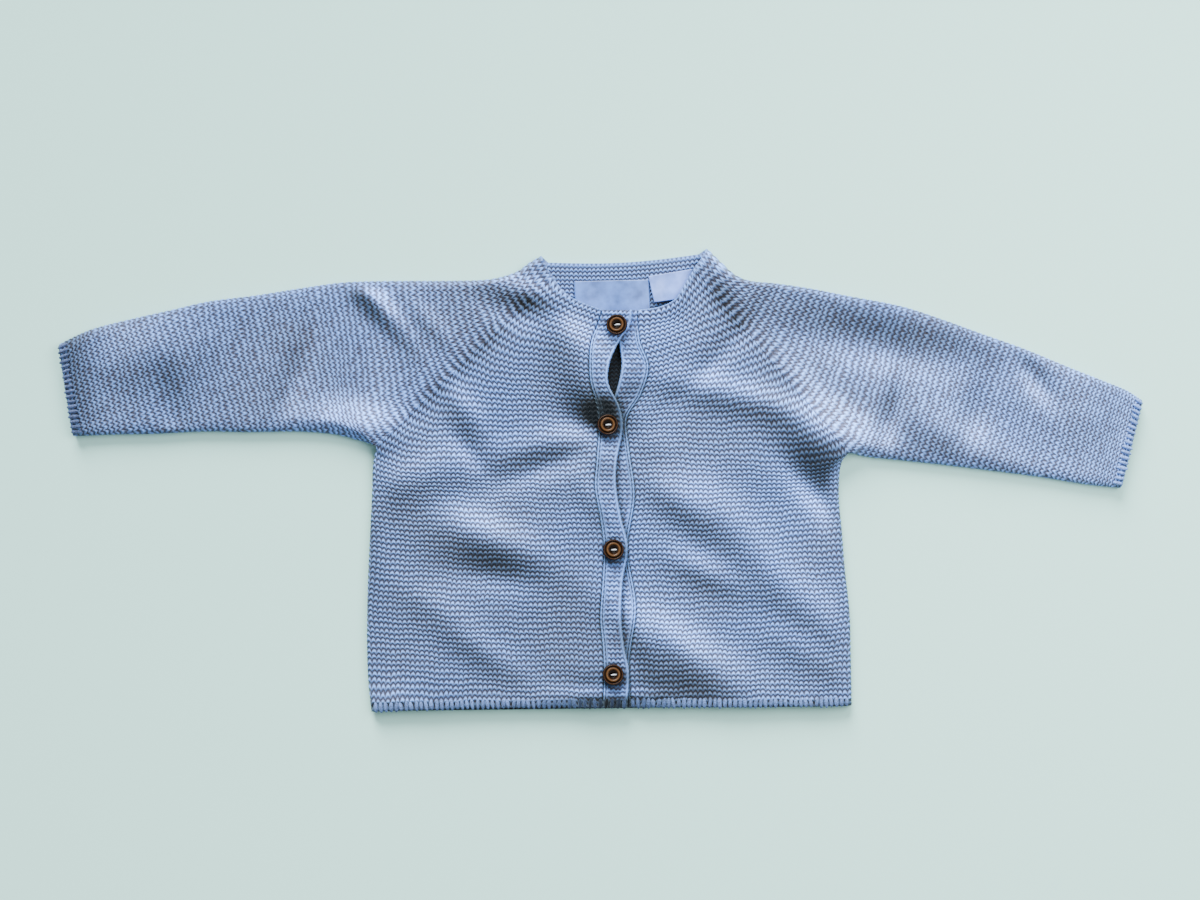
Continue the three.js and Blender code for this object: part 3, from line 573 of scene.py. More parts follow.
def front_panel(name, side, raglan_top, shoulder, band, band_edge, neck, inward, seam_rise, low_shade):
    """Rows from the raglan line or the side fold to the band seam. At the side fold they turn down by a quarter
    circle to half the garment's thickness. The wool is darker by the low shade below the underarm."""
    course = course_samples(HEM_COURSE)
    edge = edge_point(raglan_top, side, course)
    end = seam_point(band, band_edge, course)
    beyond = read_point(shoulder, "course", np.minimum(course, UNDERARM_COURSE))
    width = np.linalg.norm(end - edge, axis=1)[:, None]
    reach = np.minimum(FOLD_RADIUS, 0.04 * width)
    folded = smooth((course - UNDERARM_COURSE) / 2)[:, None]
    angle = np.linspace(0, np.pi / 2, EDGE_FOLD_STEPS + 1)[None, :-1]
    flat = np.linspace(0, 1, FRONT_COLUMNS + 1 - EDGE_FOLD_STEPS)[None]
    share = np.concatenate([reach * (1 - np.cos(angle)) / width, mix(reach / width, 1, flat)], 1)
    inner_reach = mix(reach * (1 - np.cos(angle)), FOLD_RADIUS - (FOLD_RADIUS - WALL) * np.cos(angle), folded)
    inner_share = np.concatenate([inner_reach / width, mix(reach / width, 1, flat)], 1)
    upright = np.concatenate([np.sin(angle), np.ones_like(flat)], 1)
    turn = 1 - smooth((course - UNDERARM_COURSE) / 10)[:, None]
    sweep = smooth((course - UNDERARM_COURSE + 5) / 10)[:, None]
    neck_share = 1 - smooth(course / NECK_CURVE_COURSES)[:, None, None]

    def place(at):
        points = turned_rows(edge, end, beyond, at, turn)
        drop = (1 - at) ** SIDE_SWEEP - (1 - at)
        points[..., 1] += sweep * (edge[:, None, 1] - end[:, None, 1]) * drop
        straight = mix(read_point(neck, "at", np.zeros(1)), read_point(neck, "at", np.ones(1)), at[..., None])
        return points + neck_share * (read_point(neck, "at", at) - straight)

    spot = place(share)
    seam_distance = width * (1 - share)
    climb = seam_rise * (1 - smooth(seam_distance / BAND_RISE))
    calm_side = mix(1, smooth(share / CALM_SHARE), folded)
    calm = calm_side * smooth((seam_distance + CALM_MARGIN) / BAND_RISE)
    shade_calm = calm_side * smooth((seam_distance + SHADE_MARGIN) / BAND_RISE)
    relief = np.maximum((LOFT + fold_height(spot[..., 0], spot[..., 1])) * calm, LOWEST_TROUGH)
    relief += hand_unevenness(spot[..., 0], spot[..., 1]) * calm + neck_stand(course)[:, None]
    top = FRONT_FLOOR + WALL + climb + relief
    knitted = course[:, None] + course_waver(spot[..., 0], spot[..., 1])
    stitches = np.stack([seam_distance / FRONT_STITCH, knitted], -1)
    pull = raglan_pull(width * share, course)
    raised = STITCH_RELIEF * (stitch_height(stitches[..., 0], stitches[..., 1]) - 0.6) * (1 + RAGLAN_RIDGE * pull)
    lean = np.sqrt(np.clip(1 - upright**2, 0, 1)) * folded
    z = mix(top, FOLD_RADIUS + (top - FOLD_RADIUS) * upright, folded)
    outer = np.concatenate([spot, z[..., None]], -1)
    outer[..., 0] -= inward * lean * raised
    outer[..., 2] += mix(1, upright, folded) * raised
    below = top - WALL
    inner_z = mix(below, FOLD_RADIUS + (below - FOLD_RADIUS) * upright, folded)
    inner = np.concatenate([place(inner_share), inner_z[..., None]], -1)
    # Painted shade and painted light: from the folds' slope, the patches, the seam, the raglan grooves, the lower part
    # and the edge.
    shade = painted_slope_shade(fold_height, spot[..., 0], spot[..., 1]) * shade_calm
    shade += bells(PAINTED_LIGHT_AND_SHADE_PATCHES, spot[..., 0], spot[..., 1])
    shade += SEAM_SHADE * bell(seam_distance, SEAM_GROOVE) + groove_shade(pull, knitted)
    shade += low_shade * smooth((course - LOW_SHADE_START) / LOW_SHADE_REACH)[:, None]
    shade = mix(shade, HEM_EDGE_SHADE, cast_off(course, HEM_COURSE)[:, None])
    piece = shell(name, outer, inner, SAMPLES_PER_COURSE, stitches, wool, neck_rim(course)[:, None], shade)
    return piece, outer


LEFT_SHOULDER = table("course x y", [
    (0, -0.0345, 0.1302), (2, -0.0415, 0.1260), (4, -0.0490, 0.1208), (8, -0.0641, 0.1166), (14, -0.0861, 0.1157),
    (22, -0.1151, 0.1156), (31, -0.1482, 0.1148), (38, -0.1725, 0.1116), (46, -0.2004, 0.1072),
    (54, -0.2282, 0.1036), (60, -0.2491, 0.0988), (68, -0.2769, 0.0925), (75, -0.2972, 0.0870),
    (82, -0.3145, 0.0789),
])
RIGHT_SHOULDER = table("course x y", [
    (0, 0.0618, 0.1345), (2, 0.0696, 0.1270), (4, 0.0780, 0.1194), (6, 0.0867, 0.1158), (10, 0.1012, 0.1143),
    (16, 0.1227, 0.1111), (22, 0.1435, 0.1070), (31, 0.1749, 0.1009), (38, 0.1975, 0.0937), (46, 0.2218, 0.0849),
    (54, 0.2468, 0.0760), (62, 0.2700, 0.0664), (70, 0.2920, 0.0577), (76, 0.3054, 0.0522), (82, 0.3145, 0.0464),
])
LEFT_RAGLAN_TOP = (-0.0275, 0.1177)
RIGHT_RAGLAN_TOP = (0.0542, 0.1230)

front_left, front_left_grid = front_panel(
    "front_left_knit", LEFT_SIDE, LEFT_RAGLAN_TOP, LEFT_SHOULDER, BUTTONHOLE_BAND, "left", LEFT_NECK, 1,
    BAND_WALL + BAND_CLEARANCE, 0.13,
)
front_right, front_right_grid = front_panel(
    "front_right_knit", RIGHT_SIDE, RIGHT_RAGLAN_TOP, RIGHT_SHOULDER, BUTTON_BAND, "right", RIGHT_NECK, -1, 0.0,
    0.0,
)


for piece, grid, node in ((front_left, front_left_grid, "front_left"), (front_right, front_right_grid, "front_right")):
    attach(piece, "root")
    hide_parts(node)

# The sleeves: tubes of the same knitting, narrowing to the cuff, folded flat along the shoulder and the
# underarm. Their courses go round the arm and lean with it, and the front layer carries the folds.
SLEEVE_STITCH = 0.00265
SWING_MIDDLE = 0.2
SLEEVE_SWING = 0.17
SLEEVE_SMOOTHNESS = 0.10
SLEEVE_TOP_COLUMNS = 111
SHOULDER_STEPS = 8
CUFF_SHADE = 0.66
CUFF_SHADE_START = 0.314
CUFF_SHADE_REACH = 0.030
SLEEVE_UNDER_COLUMNS = 28
# The right sleeve is painted lighter towards its cuff: painted light.
RIGHT_SLEEVE_PAINTED_LIGHT = 0.2
LEFT_BACK_RAGLAN_TOP = (-0.0305, 0.1264)
RIGHT_BACK_RAGLAN_TOP = (0.0570, 0.1312)
LEFT_UNDERARM = table("course x y", [
    (31, -0.1296, 0.0197), (34, -0.1406, 0.0232), (38, -0.1546, 0.0266), (44, -0.1749, 0.0282),
    (52, -0.2027, 0.0279), (60, -0.2305, 0.0282), (68, -0.2584, 0.0269), (75, -0.2845, 0.0264),
    (82, -0.3060, 0.0254),
])
RIGHT_UNDERARM = table("course x y", [
    (31, 0.1435, 0.0162), (34, 0.1551, 0.0136), (40, 0.1766, 0.0113), (48, 0.2044, 0.0083), (56, 0.2311, 0.0050),
    (64, 0.2566, 0.0017), (72, 0.2810, -0.0023), (82, 0.3020, -0.0046),
])


def sleeve_layer(course, edge, fold, beyond, turn, columns, up, painted_light):
    """One layer of a sleeve, from its edge to just short of the shoulder fold: a quarter turn at the underarm, the
    flat cloth, and a quarter turn at the shoulder. Up is 1 for the upper layer and -1 for the lower one. The last
    argument is the share by which the wool is painted lighter towards the cuff, as painted light."""
    width = np.linalg.norm(fold - edge, axis=1)[:, None]
    reach = np.minimum(FOLD_RADIUS, 0.04 * width)
    folded = smooth((course - UNDERARM_COURSE) / 2)[:, None]
    start = np.linspace(0, np.pi / 2, EDGE_FOLD_STEPS + 1)[None, :-1]
    flat = np.linspace(0, 1, columns)[None]
    finish = np.linspace(np.pi / 2, 0, SHOULDER_STEPS + 1)[None, 1:-1]
    ones = np.ones_like(width)
    outer_distance = np.concatenate([
        reach * (1 - np.cos(start)), mix(reach, width - FOLD_RADIUS, flat),
        width - FOLD_RADIUS * (1 - np.cos(finish)),
    ], 1)
    small = FOLD_RADIUS - WALL
    inner_distance = np.concatenate([
        mix(reach * (1 - np.cos(start)), FOLD_RADIUS - small * np.cos(start), folded),
        mix(reach, width - FOLD_RADIUS, flat),
        width - FOLD_RADIUS + small * np.cos(finish),
    ], 1)
    upright = np.concatenate([mix(1, np.sin(start), folded), ones * (0 * flat + 1), ones * np.sin(finish)], 1)
    outwards = np.concatenate([-np.cos(start) * folded, ones * 0 * flat, ones * np.cos(finish)], 1)
    arc = np.concatenate([
        width - FOLD_RADIUS - reach * (1 - np.cos(start)), (width - FOLD_RADIUS - reach) * (1 - flat),
        ones * FOLD_RADIUS * (finish - np.pi / 2),
    ], 1) + FOLD_RADIUS * np.pi / 2
    spot = turned_rows(edge, fold, beyond, outer_distance / width, turn)
    inner_spot = turned_rows(edge, fold, beyond, inner_distance / width, turn)
    share = outer_distance / width
    calm = mix(1, smooth(share / CALM_SHARE), folded) * smooth((1 - share) / CALM_SHARE)
    relief = np.maximum((LOFT + fold_height(spot[..., 0], spot[..., 1])) * calm, LOWEST_TROUGH)
    relief += hand_unevenness(spot[..., 0], spot[..., 1]) * calm + neck_stand(course)[:, None] * smooth((1 - share) * 4)
    thickness = FOLD_RADIUS + (relief if up > 0 else 0)
    pull = raglan_pull(outer_distance, course)
    swing = SWING_MIDDLE + SLEEVE_SWING * (1 - 0.6 * pull) * np.sin(2 * np.pi * up * arc / SLEEVE_STITCH)
    knitted = course[:, None] + course_waver(spot[..., 0], spot[..., 1])
    stitches = np.stack([swing, knitted], -1)
    raised = STITCH_RELIEF * (stitch_height(stitches[..., 0], stitches[..., 1]) - 0.6) * (1 + RAGLAN_RIDGE * pull)
    if up < 0:
        raised *= smooth(outwards * 2)
    z = FOLD_RADIUS + up * (thickness * upright + raised * upright)
    towards = ((fold - edge) / width)[:, None]
    outer = np.concatenate([spot + (outwards * raised)[..., None] * towards, z[..., None]], -1)
    inner_z = FOLD_RADIUS + up * (thickness - WALL) * upright
    inner = np.concatenate([inner_spot, inner_z[..., None]], -1)
    # Painted shade and painted light: from the folds' slope, the patches, the cuff's end, the raglan grooves and the
    # edge.
    shade = painted_slope_shade(fold_height, spot[..., 0], spot[..., 1]) * calm
    if up > 0:
        shade += bells(PAINTED_LIGHT_AND_SHADE_PATCHES, spot[..., 0], spot[..., 1])
    shade = mix(CUFF_SHADE, shade, smooth((spot[..., 0] + CUFF_SHADE_START) / CUFF_SHADE_REACH))
    shade += groove_shade(pull, knitted)
    shade -= painted_light * smooth((course - UNDERARM_COURSE) / (CUFF_COURSE - UNDERARM_COURSE))[:, None]
    shade = mix(shade, EDGE_SHADE, cast_off(course, CUFF_COURSE)[:, None])
    return outer, inner, stitches, shade[..., None]


def sleeve(name, shoulder, underarm, raglan_top, back_raglan_top, band, band_edge, painted_light):
    """The upper layer, the shoulder fold and the lower layer as one grid, from the front edge to the back edge."""
    course = course_samples(CUFF_COURSE)
    fold = read_point(shoulder, "course", course)
    beyond = seam_point(band, band_edge, np.minimum(course, UNDERARM_COURSE))
    turn = 1 - smooth((course - UNDERARM_COURSE) / 7)[:, None]
    front = edge_point(raglan_top, underarm, course)
    back = edge_point(back_raglan_top, underarm, course)
    upper = sleeve_layer(course, front, fold, beyond, turn, SLEEVE_TOP_COLUMNS, 1, painted_light)
    lower = sleeve_layer(course, back, fold, beyond, 0 * turn, SLEEVE_UNDER_COLUMNS, -1, painted_light)
    knitted = course + course_waver(fold[:, 0], fold[:, 1])
    raised = STITCH_RELIEF * (stitch_height(SWING_MIDDLE, knitted) - 0.6)
    towards = (fold - front) / np.linalg.norm(fold - front, axis=1)[:, None]
    level = np.full((len(course), 1), FOLD_RADIUS)
    peak = np.concatenate([fold + raised[:, None] * towards, level], 1)[:, None]
    inner_peak = np.concatenate([fold - WALL * towards, level], 1)[:, None]
    middle_stitch = np.stack([0 * course + SWING_MIDDLE, knitted], 1)[:, None]
    outer, inner, stitches, shade = (
        np.concatenate([top, middle, bottom[:, ::-1]], 1)
        for top, middle, bottom in zip(upper, (peak, inner_peak, middle_stitch, 0 * level[..., None]), lower)
    )
    # Plain on the neck rim, a painted highlight, and at least the sleeve's share, which lightens the painted shade of
    # holes.
    rim = np.maximum(neck_rim(course), SLEEVE_SMOOTHNESS)[:, None]
    return shell(name, outer, inner, SAMPLES_PER_COURSE, stitches, wool, rim, shade[..., 0]), upper[0]


sleeve_left, sleeve_left_top = sleeve(
    "sleeve_left_knit", LEFT_SHOULDER, LEFT_UNDERARM, LEFT_RAGLAN_TOP, LEFT_BACK_RAGLAN_TOP, BUTTONHOLE_BAND, "left", 0,
)
sleeve_right, sleeve_right_top = sleeve(
    "sleeve_right_knit", RIGHT_SHOULDER, RIGHT_UNDERARM, RIGHT_RAGLAN_TOP, RIGHT_BACK_RAGLAN_TOP, BUTTON_BAND,
    "right", RIGHT_SLEEVE_PAINTED_LIGHT,
)
for piece, layer, node in (
    (sleeve_left, sleeve_left_top, "sleeve_left"), (sleeve_right, sleeve_right_top, "sleeve_right"),
):
    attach(piece, "root")
    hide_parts(node)

# The back: the panel under the fronts and the sleeves, knitted across from raglan line to raglan line. Only the
# strip along the neck shows from above, where its fine courses lie level.
BACK_STITCH = 0.0026
BACK_COURSE = 0.00245
BACK_NECK_DIP = 0.0024
BACK_COLUMNS = 168
BACK_NECK_STEP = 0.15
BACK_NECK_ROWS = 40
BACK_SHADE_START = 6
BACK_SHADE_REACH = 6
BACK_SHADE = 0.93
STRIP_LIGHT = 0.55
TAG_SHADE = 0.75
TAG_SHADE_PLACE = (0.0386, 0.1025)
TAG_SHADE_REACH = (0.013, 0.0040)


def back_panel():
    """The inside of the panel as the fine grid and its underside as the other, with a quarter turn up at both
    side folds."""
    course = np.concatenate([
        np.arange(BACK_NECK_ROWS) * BACK_NECK_STEP, np.arange(BACK_NECK_ROWS * BACK_NECK_STEP, HEM_COURSE + 0.5),
    ])
    left = edge_point(LEFT_BACK_RAGLAN_TOP, LEFT_SIDE, course)[:, None]
    right = edge_point(RIGHT_BACK_RAGLAN_TOP, RIGHT_SIDE, course)[:, None]
    width = (right - left)[..., 0]
    folded = smooth((course - UNDERARM_COURSE) / 2)[:, None]
    dip = BACK_NECK_DIP * (1 - smooth(course / NECK_CURVE_COURSES))[:, None]
    angle = np.linspace(0, np.pi / 2, EDGE_FOLD_STEPS + 1)[None, :-1]
    level = np.linspace(0, 1, BACK_COLUMNS + 1)[None]

    def grid(radius):
        turned = FOLD_RADIUS - radius * np.cos(angle)
        reach = mix(FOLD_RADIUS * (1 - np.cos(angle)) / 4, turned, folded)
        edge = mix(FOLD_RADIUS / 4, FOLD_RADIUS, folded)
        distance = np.concatenate([reach, mix(edge, width - edge, level), (width - reach)[:, ::-1]], 1)
        rise = np.concatenate([
            mix(radius, radius * np.sin(angle), folded), radius * np.ones_like(width * level),
            mix(radius, radius * np.sin(angle), folded)[:, ::-1],
        ], 1)
        share = (distance / width)[..., None]
        points = mix(left, right, share)
        points[..., 1] -= dip * np.sin(np.pi * share[..., 0])
        return np.concatenate([points, (FOLD_RADIUS - rise)[..., None]], -1)

    outside = grid(FOLD_RADIUS)
    inside = grid(FOLD_RADIUS - WALL)
    stitches = np.stack([
        inside[..., 0] / BACK_STITCH, (inside[:1, :, 1] - inside[..., 1]) / BACK_COURSE,
    ], -1)
    inside[..., 2] += STITCH_RELIEF * 0.8 * stitch_height(stitches[..., 0], stitches[..., 1])
    # Painted shade: the inside of the back is painted in deep shade below the neck strip, where it shows only through
    # the gap between the bands, and the strip itself is painted lighter, as painted light. A painted shadow lies under
    # the care tag.
    depth = mix(-STRIP_LIGHT, BACK_SHADE, smooth((course - BACK_SHADE_START) / BACK_SHADE_REACH))[:, None]
    across = (inside[..., 0] - TAG_SHADE_PLACE[0]) / TAG_SHADE_REACH[0]
    down = (inside[..., 1] - TAG_SHADE_PLACE[1]) / TAG_SHADE_REACH[1]
    depth = np.maximum(depth, TAG_SHADE * np.exp(-(across**2) - down**2))
    return shell("back_knit", inside, outside, 1, stitches, wool, neck_rim(course / 2)[:, None], depth), outside


back, back_grid = back_panel()
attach(back, "root")
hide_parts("back")

# The bands: narrow strips of the same wool that edge the front opening, the one with the buttonholes on top.
# Each has level ridges, a chain of stitches where it joins its front, and a rolled outer edge.
BAND_COURSE = 0.0028
BAND_STITCH = 0.0026
BAND_COLUMNS = 50
BAND_SAMPLES = 5
BAND_FLOORS = {"button_band": FRONT_FLOOR, "buttonhole_band": FRONT_FLOOR + BAND_WALL + BAND_CLEARANCE}
BAND_EDGE_TURN = 0.0012
CHAIN_WIDTH = 0.0030
CHAIN_RISE = 0.0009
CHAIN_LINE = 0.0008
CHAIN_GROOVE_SHADE = 0.6
ROLL_LINE = 0.0014
ROLL_WIDTH = 0.0018
ROLL_RISE = 0.0010
BAND_SAG = 0.0004
BAND_SWING = 0.13
BAND_SMOOTHNESS = 0.18
CHAIN_TOP = 0.0845
CHAIN_FADE = 0.005
BAND_SLOPE_SHADE_SHARE = 0.85
BUTTON_RADIUS = 0.00615
BUTTONS = table("x y tilt nod", [
    (0.0096, 0.0895, -8, 11), (0.0041, 0.0317, 2, 9), (0.0074, -0.0405, 3, 8), (0.0072, -0.1128, 2, 10),
])
BAND_SHADE = 0.62
BAND_SHADE_REACH = 0.0042
BAND_SHADE_TOP = 0.082
BUTTON_SHADE = (0.05, 0.62, 0.62, 0.62)
BUTTON_SHADE_REACH = 0.0040
BUTTON_SHADE_DROP = 0.0008


def button_shade(x, y):
    """Dark close round each button, a little lower than the button, and soft to zero at the reach."""
    total = np.zeros_like(x)
    for button_x, button_y, depth in zip(BUTTONS["x"], BUTTONS["y"], BUTTON_SHADE):
        distance = np.hypot(x - button_x, y - button_y + BUTTON_SHADE_DROP)
        total += depth * (1 - smooth((distance - BUTTON_RADIUS) / BUTTON_SHADE_REACH))
    return total


def front_band(name, rows, floor_height, seam_edge):
    """A strip between the two curves of its table. Its seam side carries a double chain and its other side a
    roll. The strip underneath is in the shade close to the edge of the one on top."""
    lowest, highest = rows["y"][0], rows["y"][-1]
    count = int((highest - lowest) / BAND_COURSE * BAND_SAMPLES) // 5 * 5
    y = np.linspace(highest, lowest, count + 1)[:, None]
    left = read(rows, "y", y, "left")
    right = read(rows, "y", y, "right")
    share = np.linspace(0, 1, BAND_COLUMNS + 1)[None]
    x = mix(left, right, share)
    from_seam = x - left if seam_edge == "left" else right - x
    from_edge = right - x if seam_edge == "left" else x - left
    swing = SWING_MIDDLE + BAND_SWING * np.sin(2 * np.pi * from_seam / BAND_STITCH)
    stitches = np.stack([swing, (highest - y) / BAND_COURSE + 0 * x], -1)
    chain = 1 - smooth((y - CHAIN_TOP) / CHAIN_FADE)
    knit = smooth((from_seam - CHAIN_WIDTH * chain) / 0.001) * smooth((from_edge - ROLL_WIDTH) / 0.0008)
    raised = STITCH_RELIEF * knit * stitch_height(stitches[..., 0], stitches[..., 1])
    beads = 0.75 + 0.25 * np.cos(2 * np.pi * (highest - y) / BAND_STITCH + 9 * from_seam / CHAIN_WIDTH)
    lines = bell(from_seam - 0.25 * CHAIN_WIDTH, CHAIN_LINE) + bell(from_seam - 0.75 * CHAIN_WIDTH, CHAIN_LINE)
    raised += CHAIN_RISE * lines * beads * chain
    raised += ROLL_RISE * bell(from_edge - 0.5 * ROLL_WIDTH, 0.0013)
    raised -= BAND_SAG * bell(from_seam - CHAIN_WIDTH - 0.0006, 0.0008) * chain
    rim = np.minimum(from_seam, from_edge) / BAND_EDGE_TURN
    rounding = BAND_WALL * 0.45 * (1 - np.sqrt(np.clip(1 - (1 - np.clip(rim, 0, 1)) ** 2, 0, 1)))
    z = floor_height + BAND_WALL + raised - rounding + neck_stand((highest - y) / FRONT_STITCH)
    outer = np.stack([x, y + 0 * x, z], -1)
    inner = np.stack([x, y + 0 * x, floor_height + 0.2 * rounding + 0 * x], -1)
    # Plain on the chain lines and the roll, a painted highlight; the least share lightens the painted shade of the
    # holes.
    plain = np.clip(lines * chain + bell(from_edge - 0.5 * ROLL_WIDTH, ROLL_LINE), BAND_SMOOTHNESS, 1)
    # Painted shade: from the folds' slope and the patches, under the top band's edge, round the buttons and in the
    # chain's groove.
    folds = BAND_SLOPE_SHADE_SHARE * painted_slope_shade(fold_height, x, y + 0 * x) + bells(PAINTED_LIGHT_AND_SHADE_PATCHES, x, y + 0 * x)
    covered = BAND_SHADE * (1 - smooth((x - read(BUTTONHOLE_BAND, "y", y, "right")) / BAND_SHADE_REACH))
    covered *= 1 - 0.7 * smooth((y - BAND_SHADE_TOP) / BAND_SHADE_REACH)
    if seam_edge == "left":
        covered = 0
    groove = CHAIN_GROOVE_SHADE * chain * bell(from_seam - 0.5 * CHAIN_WIDTH, 0.7 * CHAIN_LINE)
    shade = 1 - (1 - covered) * (1 - folds) * (1 - button_shade(x, y + 0 * x)) * (1 - groove)
    return shell(name, outer, inner, SAMPLES_PER_COURSE, stitches, wool, plain, shade), outer


band_grids = {}
for node, rows, seam_edge, below in (
    ("button_band", BUTTON_BAND, "right", "back"),
    ("buttonhole_band", BUTTONHOLE_BAND, "left", "button_band"),
):
    piece, grid = front_band(node + "_knit", rows, BAND_FLOORS[node], seam_edge)
    band_grids[node] = grid
    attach(piece, "root")
    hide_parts(node)

# The hem and the cuffs: a last row cast off in short upright stitches, a little thicker than the cloth.
STRIP_PITCH = 0.0029
STRIP_HALF_LENGTH = 0.0031
STRIP_HALF_WIDTH = 0.00118
STRIP_HALF_HEIGHT = 0.0014
STRIP_INSET = 0.0024
STRIP_LEAN = 0.16
STRIP_SPREAD = 0.14
STRIP_SHADE_SPREAD = 0.15
HEM_SHADE = 0.75
HEM_SHADE_REACH = 0.035
HEM_LEVEL = -0.12
BEAD_SIDES = 10
BEAD_RINGS = 6


def yarn_material(name, dark, light):
    """The same wool where it shows as single smooth stitches."""
    material = plain_material(name, light, 0.9, sheen=0.28, gloss=0.15)
    tree = material.node_tree
    place = tree.nodes.new("ShaderNodeTexCoord").outputs["Object"]
    fibres = noise(tree, place, 1400, 3.0)
    depth = tree.nodes.new("ShaderNodeAttribute")
    depth.attribute_name = "Shade"
    lit = link_maths(tree, "SUBTRACT", 1.0, depth.outputs["Fac"])
    colour = scaled_colour(tree, colour_ramp(tree, fibres, [(0.3, dark), (0.7, light)]), lit)
    tree.links.new(colour, tree.nodes["Principled BSDF"].inputs["Base Color"])
    tree.links.new(bumped(tree, fibres, 0.6, FIBRE_BUMP), tree.nodes["Principled BSDF"].inputs["Normal"])
    return material


def beads(name, centres, long_ways, sizes, shade, material):
    """Closed ovals at the centres, each with its three half sizes, its long side along a level direction and its
    share of shade."""
    latitude = np.linspace(0, np.pi, BEAD_RINGS + 1)[1:-1, None]
    longitude = (np.arange(BEAD_SIDES) * 2 * np.pi / BEAD_SIDES)[None]
    ball = np.stack([
        np.cos(latitude) + 0 * longitude, np.sin(latitude) * np.cos(longitude), np.sin(latitude) * np.sin(longitude),
    ], -1).reshape(-1, 3)
    ball = np.concatenate([ball, [[1, 0, 0], [-1, 0, 0]]])[None] * sizes[:, None]
    sideways = np.stack([-long_ways[:, 1], long_ways[:, 0], 0 * long_ways[:, 0]], -1)
    points = centres[:, None] + ball[..., :1] * long_ways[:, None] + ball[..., 1:2] * sideways[:, None]
    points[..., 2] += ball[..., 2]
    grid = np.arange((BEAD_RINGS - 1) * BEAD_SIDES).reshape(BEAD_RINGS - 1, BEAD_SIDES)
    ahead = np.roll(grid, -1, axis=1)
    quads = np.stack([grid[:-1], grid[1:], ahead[1:], ahead[:-1]], -1).reshape(-1, 4)
    first, last = grid.size, grid.size + 1
    caps = np.concatenate([
        np.stack([np.full(BEAD_SIDES, first), grid[0], ahead[0]], -1),
        np.stack([np.full(BEAD_SIDES, last), ahead[-1], grid[-1]], -1),
    ])
    starts = np.arange(len(centres))[:, None, None] * ball.shape[1]
    faces = (quads + starts).reshape(-1, 4).tolist() + (caps + starts).reshape(-1, 3).tolist()
    piece = add_mesh(name, points, faces, material)
    values = np.repeat(shade, ball.shape[1]).astype(np.float32)
    piece.data.attributes.new("Shade", "FLOAT", "POINT").data.foreach_set("value", values)
    return piece


# The right cuff's stitches are painted lighter: painted light.
RIGHT_CUFF_PAINTED_LIGHT = 0.55
EDGE_YARN_LIGHT = (0.140, 0.270, 0.640)
yarn = yarn_material("edge_yarn", WOOL_DIP, EDGE_YARN_LIGHT)
shaded_yarn = yarn_material("shaded_edge_yarn", WOOL_HOLE, WOOL_YARN)


def edge_strip(name, edge, before, material=yarn, painted_light=0.0):
    """A stitch at every pitch along an edge of the cloth, lying towards the row before it, and painted lighter, as
    painted light, by the share given last."""
    lengths = np.linalg.norm(np.diff(edge[:, :2], axis=0), axis=1)
    along = np.concatenate([[0], np.cumsum(lengths)])
    count = int(along[-1] / STRIP_PITCH)
    at = (np.arange(count) + 0.5) * along[-1] / count
    spot = np.stack([np.interp(at, along, edge[:, k]) for k in range(3)], -1)
    inward = np.stack([np.interp(at, along, (before - edge)[:, k]) for k in range(3)], -1)
    inward[:, 2] = 0
    inward /= np.linalg.norm(inward, axis=1, keepdims=True)
    uneven = np.random.default_rng(count).uniform(-1, 1, (count, 4))
    inward[:, 0] += STRIP_LEAN * uneven[:, 0]
    inward /= np.linalg.norm(inward, axis=1, keepdims=True)
    centres = spot + inward * STRIP_INSET
    sizes = np.array([STRIP_HALF_LENGTH, STRIP_HALF_WIDTH, STRIP_HALF_HEIGHT]) * (1 + STRIP_SPREAD * uneven[:, 1:])
    shade = HEM_SHADE * np.exp(-((spot[:, 0] / HEM_SHADE_REACH) ** 2)) * (spot[:, 1] < HEM_LEVEL)
    shade += STRIP_SHADE_SPREAD * (uneven[:, 0] + 1) - painted_light
    piece = beads(name, centres, inward, sizes, shade, material)
    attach(piece, "root")
    return piece


edge_strip("hem_left_stitches", front_left_grid[-1, EDGE_FOLD_STEPS - 2:], front_left_grid[-8, EDGE_FOLD_STEPS - 2:])
edge_strip("hem_right_stitches", front_right_grid[-1, EDGE_FOLD_STEPS - 2:], front_right_grid[-8, EDGE_FOLD_STEPS - 2:])
edge_strip("hem_band_stitches", band_grids["buttonhole_band"][-1], band_grids["buttonhole_band"][-8])
edge_strip("cuff_left_stitches", sleeve_left_top[-1, 4:-3], sleeve_left_top[-8, 4:-3], shaded_yarn)
edge_strip(
    "cuff_right_stitches", sleeve_right_top[-1, 4:-3], sleeve_right_top[-8, 4:-3], painted_light=RIGHT_CUFF_PAINTED_LIGHT,
)

# The buttons: turned from brown wood and polished, with a rim, a groove, a raised ring and a dish; the raised parts
# are painted light as a painted highlight, and the groove and the dish dark as painted shade. Each is sewn on
# through an oval of two holes with white thread.
BUTTON_THICKNESS = 0.0032
BUTTON_FLOOR = BAND_FLOORS["buttonhole_band"] + BAND_WALL + BAND_CLEARANCE
# Rows of the profile: radius, height and tone; the tone is painted light, high on the raised rim and ring as a painted
# highlight and low in the groove, the dish and below as painted shade.
BUTTON_PROFILE = table("radius height tone", [
    (0.00, 0.40, 0.0), (0.10, 0.40, 0.0), (0.26, 0.46, 0.0), (0.36, 0.62, 0.15), (0.46, 0.88, 0.6), (0.56, 1.00, 1.0),
    (0.64, 0.98, 0.9), (0.71, 0.84, 0.35), (0.76, 0.72, 0.0), (0.80, 0.74, 0.1), (0.85, 0.90, 0.5),
    (0.90, 0.93, 0.6), (0.95, 0.84, 0.3), (0.99, 0.62, 0.1), (1.00, 0.42, 0.1), (0.97, 0.20, 0.0), (0.90, 0.05, 0.0),
    (0.78, 0.00, 0.0), (0.00, 0.00, 0.0),
])
BUTTON_SIDES = 72
BUTTON_RINGS = 4
SLOT_HALF_LENGTH = 0.36
